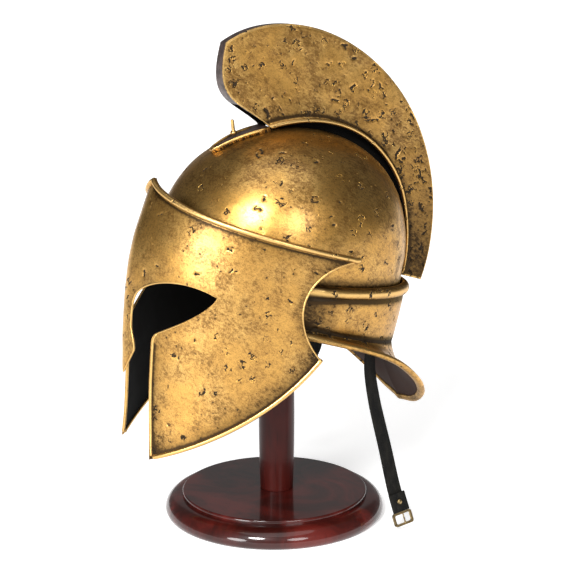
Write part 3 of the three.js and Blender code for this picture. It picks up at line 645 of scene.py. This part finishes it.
opening = joined(
    np.array([NASAL_TIP, NASAL_WIDE], float),
    bezier(NASAL_WIDE, (14.5, 196), (9.5, 199), NASAL_NECK, 22),
    bezier(NASAL_NECK, (9.5, 222), (10, 233), EYE_INNER, 22),
    bezier(EYE_INNER, (28, 253), (62, 259), EYE_OUTER, 40),
    bezier(EYE_OUTER, (74, 224), (54, 213), CHEEK_TOP, 34),
    bezier(CHEEK_TOP, (34.5, 202.3), (33, 198), CHEEK_FRONT, 14),
    bezier(CHEEK_FRONT, (31, 150), (31, 110), CHIN, 60),
)
EYE_POINTS = 118  # how many of them go from the nasal's tip round the eye
ear = bezier(TAIL, (-14, 268), (-42, 228), EAR_CORNER, 40)
jaw = bezier(EAR_CORNER, (-42, 141), (-96, 108), JAW_TIP, 70)


def off_line(p, line):
    """How far each point of a flat view lies from a line of closely set points."""
    nearest = np.full(p.shape[:-1], 1e9)
    for place in line:
        nearest = np.minimum(nearest, np.square(p - place).sum(-1))
    return np.sqrt(nearest)


along, downs = grid_of(np.linspace(-1, 1, 361), joined(bead_steps(0, 13), np.linspace(1, 2, 200)))
rim = np.where(downs <= 1, 1.27 * half_round(downs, RIM_BEAD), 0)
plate_out = normals_of(plate, along, downs)
plate_mid = plate(along, downs)
plate_face = plate_mid + plate_out * (SHEET / 2 + rim)[..., None]
off_bead = share((downs - 1.01) / 0.04)
rough_face = beaten(plate_face, plate_out, seed=3, waves=((0.6, 55), (0.16, 16)))


def plate_pit_places(p):
    """Pits are thick on the brow and thin on the cheeks."""
    return np.clip((p[:, 2] - 150) / 120, 0.12, 0.9)


rough_face, plate_pits = pitted(rough_face, plate_out, 90, seed=31, where=plate_pit_places)
plate_face = mixed(plate_face, rough_face, off_bead[..., None])
# Painted shade under the brow's bead, and along the jaw's wire, the ear's edge, the cheek's front wire and the eye.
brow_gap = (downs - 1) * (table_curve(BROW_Z, np.abs(along)) - PLATE_BOTTOM)
plate_recess = (near(brow_gap, 0, 2.6) + 0.42 * near(brow_gap, 0, 12)) * (downs > 1)
side_view, front_view = plate_mid[..., 1:], np.abs(plate_mid[..., ::2])
cheek_front = opening[(opening[:, 1] < 193) & (opening[:, 0] > 20)]
for gap, depth, width in (
    (off_line(side_view, jaw), 0.75, 13),
    (off_line(side_view, ear), 0.4, 7),
    (off_line(front_view, cheek_front), 0.6, 9),
    (off_line(front_view, opening[:EYE_POINTS]), 0.25, 5),
):
    plate_recess += depth * near(gap, 0, width) + 0.5 * near(gap, 3.2, 1.3) * (depth > 0.5)
plate_wear = np.where(downs <= 1, np.sin(math.pi * share(downs)) ** 1.5 * 0.9, 0)
keel_wear = 0.45 * near(plate_face[..., 0], 0, 3.2) * (downs > 1)

along_in, downs_in = grid_of(along[:, 0], np.concatenate([[0, 0.5], np.linspace(1, 2, 40)]))
plate_back = plate(along_in, downs_in) - normals_of(plate, along_in, downs_in) * (SHEET / 2)

work = Patchwork()
work.grid(plate_face, 0, pit=plate_pits * (off_bead > 0.5), recess=plate_recess, wear=plate_wear + keel_wear)
work.grid(plate_back, 1)
work.edges(plate_face, plate_back)
face_plate = work.made("helmet_face_plate", [bronze("plate_bronze", 0.5, 0.015, 0.6), INSIDE])


def prism(name, outline, view, start, end):
    """A cutter: an outline in the front (x, z) or the side (y, z) view, drawn out to a block."""
    count = len(outline)
    flat = [(a, d, b) if view == "front" else (d, a, b) for d in (start, end) for a, b in outline]
    sides = [(i, (i + 1) % count, count + (i + 1) % count, count + i) for i in range(count)]
    ends = [tuple(range(count)), tuple(range(2 * count - 1, count - 1, -1))]
    mesh = bpy.data.meshes.new(name)
    mesh.from_pydata([Vector(place) * MM for place in flat], [], ends + sides)
    cleaned(mesh)
    return added(name, mesh)


def sawn(piece, tool):
    """Cuts a block out of a piece, and throws the block away."""
    saw = piece.modifiers.new("saw", "BOOLEAN")
    saw.operation, saw.solver, saw.object = "DIFFERENCE", "EXACT", tool
    uncut, shapes = piece.data, bpy.context.evaluated_depsgraph_get()
    piece.data = bpy.data.meshes.new_from_object(piece.evaluated_get(shapes))
    piece.modifiers.clear()
    piece.data.name = piece.name
    bpy.data.meshes.remove(uncut)
    bpy.data.objects.remove(tool)


mirrored = opening[::-1][:-1] * (-1, 1)
whole_opening = joined(opening, np.array([CHIN, (-CHIN[0], CHIN[1])]), mirrored)
sawn(face_plate, prism("face_cutter", whole_opening, "front", *FACE_CUT))
under_jaw = np.array([JAW_TIP, (-200, 72), (-200, 20), (60, 20)], float)
behind = joined(np.array([(60, TAIL[1]), TAIL]), ear, jaw, under_jaw)
sawn(face_plate, prism("cheek_cutter", behind, "side", *CHEEK_CUT))
smooth_faces(face_plate, 35)
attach(face_plate, "root")
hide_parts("face_plate")


def tube(onto, path, radius, sides=10, ends=0.55):
    """Adds a round wire along a path of points to a patchwork. Its ends are domed."""
    path = np.asarray(path, float)
    tangents = unit(np.gradient(path, axis=0))
    frame_up = unit(np.cross(tangents[0], [0.31, 0.52, 0.79]))
    turns = np.arange(sides) * 2 * math.pi / sides
    rings = []
    for tangent in tangents:
        frame_up = unit(frame_up - tangent * np.dot(frame_up, tangent))
        rings.append(np.outer(np.cos(turns), frame_up) + np.outer(np.sin(turns), np.cross(tangent, frame_up)))
    radii = np.broadcast_to(radius, len(path))
    loops = [place + ring * r for place, ring, r in zip(path, rings, radii)]
    first, last = (path[k] + rings[k] * radii[k] * 0.6 for k in (0, -1))
    loops = [first - tangents[0] * radii[0] * ends, *loops, last + tangents[-1] * radii[-1] * ends]
    onto.bar(np.stack(loops), wear=np.full((sides, len(loops)), 0.6))


def resampled(path, step, count=0):
    """Points along a path at an even step, or a count of them."""
    run = np.concatenate([[0], np.cumsum(np.linalg.norm(np.diff(path, axis=0), axis=1))])
    at = np.linspace(0, run[-1], count or max(3, int(run[-1] / step)))
    return np.stack([np.interp(at, run, path[:, k]) for k in range(3)], 1)


# The wires and rolled edges of the plate: a thick wire along the jaw, a finer one up the cheek's front edge,
# the burred edge round the eye, the nasal and the hollow behind the cheek, and the brow bead's tail over the ear.
HEM_STEP, EYE_STEP, EAR_STEP = 2.5, 1.5, 2.0
FRONT_HEM, EYE_BURR, EAR_BURR = 0.7 * HEM_BEAD, 1.0, 1.05
work = Patchwork()
front_edge = opening[(opening[:, 1] < 203.5) & (opening[:, 0] > 20)]
jaw_width = plate_at_y(np.maximum(jaw[:, 0], -150), jaw[:, 1], 1)[:, 0]
front_width = np.interp(jaw[:, 1], front_edge[::-1, 1], front_edge[::-1, 0])
on_jaw = jaw[jaw_width > front_width + 1.5]
front = front_edge[front_edge[:, 1] > on_jaw[-1, 1] + 1]
for side in (1, -1):
    tube(work, resampled(plate_at_y(on_jaw[:, 0], on_jaw[:, 1] + 1, side), HEM_STEP), HEM_BEAD)
    wire = resampled(plate_at_x(front[:, 0] + 1, front[:, 1], side), HEM_STEP)
    tube(work, wire, FRONT_HEM * share(0.62 + np.arange(len(wire)) / 12))
    eye_edge = opening[: np.flatnonzero((opening == CHEEK_FRONT).all(1))[0] + 1]
    tube(work, resampled(plate_at_x(eye_edge[:, 0], eye_edge[:, 1], side), EYE_STEP), EYE_BURR, 8)
    tube(work, resampled(plate_at_y(ear[:, 0], ear[:, 1], side), EAR_STEP), EAR_BURR, 8)
    tail = side * np.linspace(-0.9, -1.012, 16)
    out_of_bead = normals_of(plate, tail, np.full(16, 0.5)) * np.linspace(0.9, 1.9, 16)[:, None]
    tube(work, plate(tail, 0.5) + out_of_bead, np.linspace(1.5, 2.7, 16), 14, 0.35)
plate_edges = work.made("helmet_plate_edges", [bronze("edge_bronze", 0.0, -0.03)], 60)
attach(plate_edges, "root")

# ---------------- Crest
# A hollow crescent of sheet bronze that stands over the skull from front to nape. Its two cheeks lean together
# towards the outer edge, and a bead runs along each foot.
# Each row: an angle back from the top of the skull, and how far from its middle, or how wide to one side.
CREST_INNER = [(-30, 111), (-24, 111), (-12, 112), (0, 114.2), (14, 118.6), (40, 127.6), (65, 131.4)]
CREST_INNER += [(86, 131), (108, 133.5)]
CREST_OUTER = [(-30, 178), (-24, 192), (-12, 204.5), (0, 207.42), (14, 203.5), (40, 189), (65, 174)]
CREST_OUTER += [(86, 164.9), (108, 160)]
CREST_FOOT = [(-30, 13), (0, 13), (14, 12.5), (40, 11.5), (65, 10.5), (86, 9.5), (108, 8.5)]
CREST_EDGE = [(-30, 5), (-24, 6), (-12, 6.5), (14, 6.5), (40, 6), (65, 5.5), (86, 5), (108, 4.5)]
CREST_FRONT, CREST_LEAN, CREST_NOSE, CREST_TAIL = -8.0, 9.0, 9.0, 108.0
CREST_BEAD, BEAD_SHARE = 2.2, 0.055


def over_middle(side, angle, distance):
    """A place at an angle back from the top, a distance from the skull's middle."""
    a = np.radians(angle)
    return points(side, SKULL_MIDDLE[1] + distance * np.sin(a), SKULL_MIDDLE[2] + distance * np.cos(a))


def crest_place(along, up, side, inset=0.0, below=0.0, bead=True):
    """A point of a cheek of the crest: along from front to tail, up from foot to outer edge."""
    front = CREST_FRONT - CREST_LEAN * up - CREST_NOSE * np.sin(math.pi * up)
    margin = inset / 2.6
    angle = mixed(front + margin, CREST_TAIL - margin, along)
    inner = table_curve(CREST_INNER, angle) - below
    outer = table_curve(CREST_OUTER, angle) - inset
    distance = mixed(inner, outer, up)
    over_bead = (distance - inner) / (2 * CREST_BEAD)
    proud = np.where(over_bead < 1, half_round(over_bead, CREST_BEAD), 0) if bead else 0
    half = mixed(table_curve(CREST_FOOT, angle), table_curve(CREST_EDGE, angle), up) - inset + proud
    return over_middle(side * half, angle, distance)


def crest_block(along_steps, up_steps, across_steps, **options):
    """The crest's outer or inner form: its cheeks, and the walls at its edge, foot, front and tail."""
    along, up = grid_of(along_steps, up_steps)
    left, right = (crest_place(along, up, side, **options) for side in (1, -1))
    t = np.linspace(0, 1, across_steps)[None, :, None]
    borders = [(left[:, k], right[:, k]) for k in (-1, 0)] + [(left[k], right[k]) for k in (0, -1)]
    return left, right, [a[:, None] + (b - a)[:, None] * t for a, b in borders]


along_steps = np.linspace(0, 1, 310)
up_steps = joined(BEAD_SHARE * bead_steps(0, 11), np.linspace(BEAD_SHARE, 1, 72))
left, right, walls = crest_block(along_steps, up_steps, 9)
work = Patchwork()
for number, cheek in enumerate((left, right)):
    out = np.zeros_like(cheek)
    out[..., 0] = 1 - 2 * number
    up_share = np.broadcast_to(up_steps[None, :], cheek.shape[:2])
    near_edge = share(np.minimum.reduce([(up_share - 0.07) / 0.05, (1 - up_share) / 0.03]))
    ends = share(np.minimum(along_steps, 1 - along_steps) / 0.012)[:, None]
    worked = beaten(cheek, out, seed=4 + number, waves=((0.5, 38), (0.2, 11)))
    worked, pits = pitted(worked, out, 170, seed=41 + number, size=(1.3, 3.0))
    worked = mixed(cheek, worked, (near_edge * ends)[..., None])
    # Painted shade lies just above the foot's bead, and the cheeks grow darker towards the tail.
    recess = 0.95 * near(up_share, 0.075, 0.03) + 0.3 * near(up_share, 0.15, 0.1)
    recess += 0.85 * share((along_steps[:, None] - 0.5) / 0.45)
    wear = np.where(up_share < BEAD_SHARE, np.sin(math.pi * up_share / BEAD_SHARE) * 0.85, 0)
    wear = np.maximum(wear + 0.8 * (up_share > 0.985), 0.8 * (ends < 0.35))
    work.grid(worked, 0, pit=pits * near_edge * ends, recess=recess * (up_share > BEAD_SHARE), wear=wear)
for wall in walls:
    work.grid(wall, 1)


def dull_dark_bronze():
    """Dull, dark purple-brown bronze with darker blotches, on the crest's walls and the saddle's top."""
    finish = Finish("dull_dark_bronze", {"Metallic": 0.55, "Coat Weight": 0.15, "Coat Roughness": 0.35})
    blotches = finish.noise(110, 6, 0.7).rise(0.40, 0.62)
    colour = finish.mixed(blotches, rgb(0.085, 0.052, 0.045), rgb(0.035, 0.021, 0.018))
    return finish.surface(colour, 0.42 + blotches * 0.15, finish.noise(260, 4, 0.7), 0.0004)


dull_dark = dull_dark_bronze()
crest = work.made("helmet_crest", [bronze("crest_bronze", 0.9, 0.02, 0.8), dull_dark, INSIDE], 35)
work = Patchwork()
steps = np.linspace(0, 1, 70), np.linspace(0, 1, 10), 3
left, right, walls = crest_block(*steps, inset=SHEET, below=4, bead=False)
for grid in [left, right] + walls:
    work.grid(grid)
hollow = work.made("crest_hollow", [INSIDE])
sawn(crest, hollow)
smooth_faces(crest, 35)
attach(crest, "root")
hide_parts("crest")

# ---------------- Crest saddle and peg
# The saddle is a plate that follows the skull in front of the crest and under it, beaded round its edge and soldered
# down. A short peg for a plume stands on it.
SADDLE_HALF = [(-38, 3), (-34, 7), (-24, 11.5), (-14, 14), (-9.6, 14.5)]
SADDLE_FRONT, SADDLE_BACK, SADDLE_THICK, SADDLE_GAP = -38.0, -9.4, 2.2, 0.4


def over_skull(angle, side, lift):
    """A place over the skull by its angle back from the top, and how far it is to the side and above."""
    a, power = np.radians(angle), np.where(np.asarray(angle) < 0, 2.0, 2.2)
    tall, long = np.clip(np.cos(a) / SKULL_TALL, 0, None), np.abs(np.sin(a)) / SKULL_LONG
    radius = (tall**power + long**power) ** (-1 / power)
    return over_middle(side, angle, radius * np.sqrt(1 - (side / SKULL_WIDE) ** 2) + lift)


# The bead takes 3 degrees at the front end, and a quarter of the half width along the sides.
TIP_BEAD, SIDE_BEAD = 3, 0.24
edge_steps = bead_steps(0, 11) * SIDE_BEAD
between_beads = np.linspace(SIDE_BEAD - 1, 1 - SIDE_BEAD, 24)[1:-1]
side_steps = np.concatenate([-1 + edge_steps, between_beads, 1 - edge_steps[::-1]])
tip_steps = SADDLE_FRONT + TIP_BEAD * bead_steps(0, 9)
back_steps = np.linspace(SADDLE_FRONT + TIP_BEAD, SADDLE_BACK, 70)[1:]
under_crest = SADDLE_BACK + np.array([0.05, 2, 5])
angles, sides = grid_of(np.concatenate([tip_steps, back_steps, under_crest]), side_steps)
bead_share = np.minimum(np.minimum((angles - SADDLE_FRONT) / TIP_BEAD, (1 - np.abs(sides)) / SIDE_BEAD), 1)
widths = sides * table_curve(SADDLE_HALF, angles)
to_crest = share((angles + 16) / 6.4)
saddle_rise = SADDLE_THICK + np.maximum(half_round(bead_share, 2.0), 2.1 * smooth_step(to_crest))
saddle_face = over_skull(angles, widths, SADDLE_GAP + np.where(angles > SADDLE_BACK, 0.5, saddle_rise))
saddle_foot = over_skull(angles, widths * 0.94, SADDLE_GAP)
saddle_wear = np.where(bead_share < 1, np.sin(math.pi * bead_share), 0) * 0.8
# Painted shade lies along the inner side of the bead and over the top, and on the side walls, where it turns near
# black at the foot under the bead.
saddle_recess = near(bead_share, 1, 0.12) * 0.5 + 0.35 * (bead_share >= 1)
work = Patchwork()
work.grid(saddle_face, 0, wear=saddle_wear, recess=saddle_recess)
work.grid(saddle_foot)
for k in (0, -1):
    for edge, foot in ((saddle_face[:, k], saddle_foot[:, k]), (saddle_face[k], saddle_foot[k])):
        work.strip(edge, foot, recess=np.broadcast_to([0.2, 2.2], (len(edge), 2)))
on_top = (bead_share[:-1, :-1] >= 0.99) & (bead_share[1:, 1:] >= 0.99)
work.slots[: on_top.size] = on_top.astype(int).ravel().tolist()
saddle = work.made("crest_saddle_plate", [bronze("saddle_bronze", 0.0, 0.0), dull_dark], 50)
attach(saddle, "root")
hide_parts("crest_saddle")

PEG_BALL, PEG_RADIUS, PEG_TALL, PEG_LEAN = 3.2, 1.7, 15, math.radians(6)
PEG_FORM = [(0, 0), (0.5, 0.02), (0.75, 0.3), (0.97, 0.6), (1, 0.85), (0.93, 1.1), (0.75, 1.3), (0.56, 1.45)]
PEG_FORM += [(0.53, 1.7)]


def turned(profile, count):
    """A closed turned form from (radius, height) rows, about the Z axis."""
    profile = np.array(profile, float)
    turn = np.arange(count)[:, None] * 2 * math.pi / count
    radius, height = profile[None, :, 0], profile[None, :, 1]
    return points(radius * np.cos(turn), radius * np.sin(turn), height)


peg_low, peg_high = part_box("crest_peg")
peg_profile = [(r * PEG_BALL, z * PEG_BALL) for r, z in PEG_FORM]
peg_profile += [(PEG_RADIUS * 0.95, 13.6), (PEG_RADIUS * 0.8, 14.5), (PEG_RADIUS * 0.45, 14.95), (0, PEG_TALL)]
work = Patchwork()
work.grid(turned(peg_profile, 20), 0, True, wear=np.full((20, len(peg_profile)), 0.5))
peg = work.made("crest_peg_pin", [bronze("peg_bronze", 0.05, 0.05)], 45)
peg_place = Vector(((peg_low.x + peg_high.x) / 2, peg_high.y - PEG_BALL * MM, peg_high.z - PEG_TALL * MM))
peg.data.transform(Matrix.Translation(peg_place) @ Matrix.Rotation(PEG_LEAN, 4, "X"))
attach(peg, "root")
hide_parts("crest_peg")

# The rib stands in the middle plane, soldered to the skull, and carries the crest from inside. It is painted black,
# and its black also stands for the shade in the gap under the crest.
RIB_FRONT, RIB_TAIL, RIB_HALF, RIB_INTO_CREST = -4.0, 100.0, 2.5, 9.0
angles = np.linspace(RIB_FRONT, RIB_TAIL, 90)
rib_foot = over_skull(angles, 0, -0.5)
rib_top = over_middle(0, angles, table_curve(CREST_INNER, angles) + RIB_INTO_CREST)
# Its section, from its foot on the skull to its top inside the crest, flares at the foot where the solder is.
section = [(-1, 0.06), (-1, 1), (1, 1), (1, 0.06), (1.7, 0), (-1.7, 0)]
work = Patchwork()
work.bar(np.stack([mixed(rib_foot, rib_top, up) + (side * RIB_HALF, 0, 0) for side, up in section], 1))
rib = work.made("crest_rib_bar", [INSIDE], 30)
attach(rib, "root")
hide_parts("crest_rib")

# ---------------- Chin strap
# Two halves of black grained leather, each riveted inside the helmet. The left half ends in a fold with a buckle;
# the right half ends in a rounded tongue.
BUCKLE_HALF = [(85, 70.5, 219), (82, 68.8, 205), (78.4, 66.9, 190), (75, 65.8, 174), (73.2, 66, 157)]
BUCKLE_HALF += [(76, 69.5, 126), (84, 78, 78), (93, 83.5, 39), (100, 87, 18)]
TONGUE_HALF = [(-85, 70.5, 219), (-82, 68.8, 205), (-78, 66.9, 190), (-73.8, 68, 175), (-71.3, 74, 161)]
TONGUE_HALF += [(-70.5, 79, 147), (-72.5, 74, 131), (-76, 64.5, 114), (-80, 51, 97), (-84.5, 37, 80)]
STRAP_WIDE, STRAP_THICK, STRAP_CORNER, STRAP_LEAN, STRAP_TWIST = 15.0, 2.4, 0.7, 0.65, 0.85
BUCKLE_STEPS, FOLD_STEPS, TONGUE_STEPS = 140, 13, 110


def leather():
    finish = Finish("black_leather", {"Specular IOR Level": 0.14})
    grain = finish.cells(950, finish.wandering(500, 0.0006)).rise(0.05, 0.55)
    creases = finish.noise(160, 4, 0.65, at=finish.stretched((1, 1, 4)))
    colour = finish.mixed(creases.rise(0.35, 0.7), rgb(0.002, 0.002, 0.0018), rgb(0.010, 0.009, 0.007))
    relief = grain * 0.6 + creases * 0.5
    return finish.surface(colour, 0.42 + grain * 0.15 + creases * 0.12, relief, 0.0003)


LEATHER = leather()


def knotted(p, q, t, low, high):
    """Between two places as t goes from the low knot to the high one."""
    return (high - t) / (high - low) * p + (t - low) / (high - low) * q


def strap_line(rows, count, twist=0.0):
    """A smooth line through a strap's rows, as its middle, its way across and its way out."""
    rows = np.array(rows, float)
    ends = np.vstack([2 * rows[0] - rows[1], rows, 2 * rows[-1] - rows[-2]])
    pieces = []
    for a, b, c, d in zip(ends, ends[1:], ends[2:], ends[3:]):
        knots = np.cumsum([0] + [np.linalg.norm(q - p) ** 0.5 for p, q in ((a, b), (b, c), (c, d))])
        t = np.linspace(knots[1], knots[2], 30)[:, None]
        chords = zip((a, b, c), (b, c, d), knots, knots[1:])
        ab, bc, cd = (knotted(p, q, t, low, high) for p, q, low, high in chords)
        abc, bcd = knotted(ab, bc, t, knots[0], knots[2]), knotted(bc, cd, t, knots[1], knots[3])
        pieces.append(knotted(abc, bcd, t, knots[1], knots[2]))
    middle = resampled(joined(*pieces), 0, count)
    along = unit(np.gradient(middle, axis=0))
    lean = STRAP_LEAN * (1 - twist * np.linspace(0, 1, count))
    outward = unit(middle * np.stack([np.ones(count), lean, np.zeros(count)], 1))
    across = unit(np.cross(along, outward))
    return middle, across, np.cross(across, along)


def strap_band(onto, line, wide, lift=0.0):
    """Adds a strap with rounded corners along its line to a patchwork, closed at both ends."""
    turn = np.radians(np.arange(24) * 15 + 7.5)[:, None]
    middle, across, out = (part[:, None] for part in line)
    wide = np.broadcast_to(wide, len(middle))[:, None, None]
    side = np.sign(np.cos(turn)) * (wide / 2 - STRAP_CORNER) + STRAP_CORNER * np.cos(turn)
    proud = np.sign(np.sin(turn)) * (STRAP_THICK / 2 - STRAP_CORNER) + STRAP_CORNER * np.sin(turn)
    onto.bar(middle + across * side + out * (proud + lift))


buckle_line = strap_line(BUCKLE_HALF, BUCKLE_STEPS, STRAP_TWIST)
fold = [part[-FOLD_STEPS:] for part in buckle_line]
work = Patchwork()
strap_band(work, buckle_line, STRAP_WIDE)
strap_band(work, fold, STRAP_WIDE + 3, STRAP_THICK - 0.2)
strap_left = work.made("strap_buckle_half", [LEATHER], 50)
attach(strap_left, "root")
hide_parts("chin_strap_left")

# The tongue keeps its width up to the round tip, which takes its last 6%.
into_tip = share((np.linspace(0, 1, TONGUE_STEPS) - 0.94) / 0.062)
tongue_wide = STRAP_WIDE * np.sqrt(np.clip(1 - into_tip**2, 0.02, 1))
work = Patchwork()
strap_band(work, strap_line(TONGUE_HALF, TONGUE_STEPS), tongue_wide)
strap_right = work.made("strap_tongue_half", [LEATHER], 50)
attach(strap_right, "root")
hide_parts("chin_strap_right")


def old_brass():
    finish = Finish("old_brass", {"Metallic": 1.0})
    stain = finish.noise(300, 5, 0.7).rise(0.45, 0.7)
    colour = finish.mixed(stain, rgb(0.50, 0.36, 0.17), rgb(0.035, 0.028, 0.02))
    return finish.surface(colour, 0.28 + stain * 0.25)


# The buckle and the rivet of its fold are bare, and the two rivets inside the helmet are painted with the rest.
metals = dict.fromkeys(("buckle_frame", "buckle_prong", "strap_fold_rivet"), old_brass())
metals |= dict.fromkeys(("strap_rivet_left", "strap_rivet_right"), INSIDE)
for name, metal in metals.items():
    small_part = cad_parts[name]
    small_part.data.materials.clear()
    small_part.data.materials.append(metal)

# ---------------- Stand
# Turned and lacquered mahogany: a moulded base, a plain post, and a round head that carries the skull from inside.
BASE_RADIUS, BASE_HEIGHT = 108.0, 22.7
POST_FOOT, POST_TOP, POST_BACK = 23.1, 318.0, 2.4
POST_FORM = [(POST_FOOT, 16.2), (60, 17.2), (110, 17.5), (200, 17), (POST_TOP, 15.3)]
HEAD_RADIUS, HEAD_TOP, HEAD_CROWN = 46.0, 377.2, 70.0


def lacquered_wood(name, gloss):
    finish = Finish(name, {"Coat Roughness": 0.07, "Coat IOR": 1.45, "Specular IOR Level": 0.15})
    figure = finish.noise(14, 5, 0.6, 1.2, at=finish.stretched((1, 1, 8)))
    pores = finish.noise(420, 3, 0.6, at=finish.stretched((1, 1, 25)))
    colour = finish.mixed(figure.rise(0.35, 0.68), rgb(0.022, 0.003, 0.002), rgb(0.095, 0.010, 0.007))
    colour = finish.mixed(pores.rise(0.62, 0.72) * 0.6, colour, rgb(0.012, 0.002, 0.002))
    relief = finish.noise(45, 2, 0.5) * 0.5 + pores * 0.04
    coat = {"Coat Weight": (figure * 0.3 + 0.85) * gloss}
    return finish.surface(colour, 0.34 + figure * 0.1, relief, 0.00025, coat)


BASE_WOOD, POST_WOOD = lacquered_wood("base_mahogany", 0.9), lacquered_wood("post_mahogany", 0.12)


def eased(profile, radius, steps=4):
    """A profile with its inner corners eased by small arcs."""
    profile = [np.array(p, float) for p in profile]
    rows = [profile[0]]
    for before, corner, after in zip(profile, profile[1:], profile[2:]):
        reach = min(radius, np.linalg.norm(before - corner) / 2.2, np.linalg.norm(after - corner) / 2.2)
        start, end = corner + unit(before - corner) * reach, corner + unit(after - corner) * reach
        t = np.linspace(0, 1, steps + 1)[:, None]
        rows += list((1 - t) ** 2 * start + 2 * t * (1 - t) * corner + t * t * end)
    return rows + [profile[-1]]


def turned_piece(name, profile, node, wood, back=0.0, count=160):
    turning = Patchwork()
    turning.grid(turned(profile, count) + (0, back, 0), 0, True)
    piece = turning.made(name, [wood], 50)
    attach(piece, "root")
    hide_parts(node)


top_radius = BASE_RADIUS - 17
quarter = np.linspace(0, math.pi / 2, 20)
narrow, step_z = top_radius + 2.5, BASE_HEIGHT - 4.2
moulding = [(mixed(narrow, BASE_RADIUS, math.cos(a)), mixed(5, step_z, math.sin(a))) for a in quarter]
rounded_foot = [(BASE_RADIUS - 2.5, 0), (BASE_RADIUS - 0.8, 2)]
# The step above the moulding: how far inside or outside the top's radius, and how far below it.
step = [(-0.6, 4.2), (-0.6, 3), (0, 2.6), (0, 0.7), (-0.7, 0)]
step = [(top_radius + out, BASE_HEIGHT - down) for out, down in step]
level = [(r, BASE_HEIGHT) for r in np.linspace(top_radius - 2, 0, 14)]
turned_piece("stand_base_disc", [(0, 0)] + rounded_foot + moulding + step + level, "stand_base", BASE_WOOD)
heights = np.linspace(POST_FOOT, POST_TOP, 80)
post_wall = [(float(table_curve(POST_FORM, z)), z) for z in heights]
post_profile = [(0, POST_FOOT)] + post_wall + [(0, POST_TOP)]
turned_piece("stand_post_turned", post_profile, "stand_post", POST_WOOD, POST_BACK, 64)
crown_steps = np.linspace(HEAD_RADIUS, 0, 24)
crown = [(r, HEAD_TOP - HEAD_CROWN + math.sqrt(HEAD_CROWN**2 - r * r)) for r in crown_steps]
low = POST_TOP + 0.4
neck = [(0, low), (20, low), (34, low + 14), (HEAD_RADIUS - 2, low + 27), (HEAD_RADIUS, low + 33)]
knob_profile = eased(neck + crown[:1], 3) + crown[1:]
turned_piece("stand_head_knob", knob_profile, "stand_head", POST_WOOD, POST_BACK, 96)
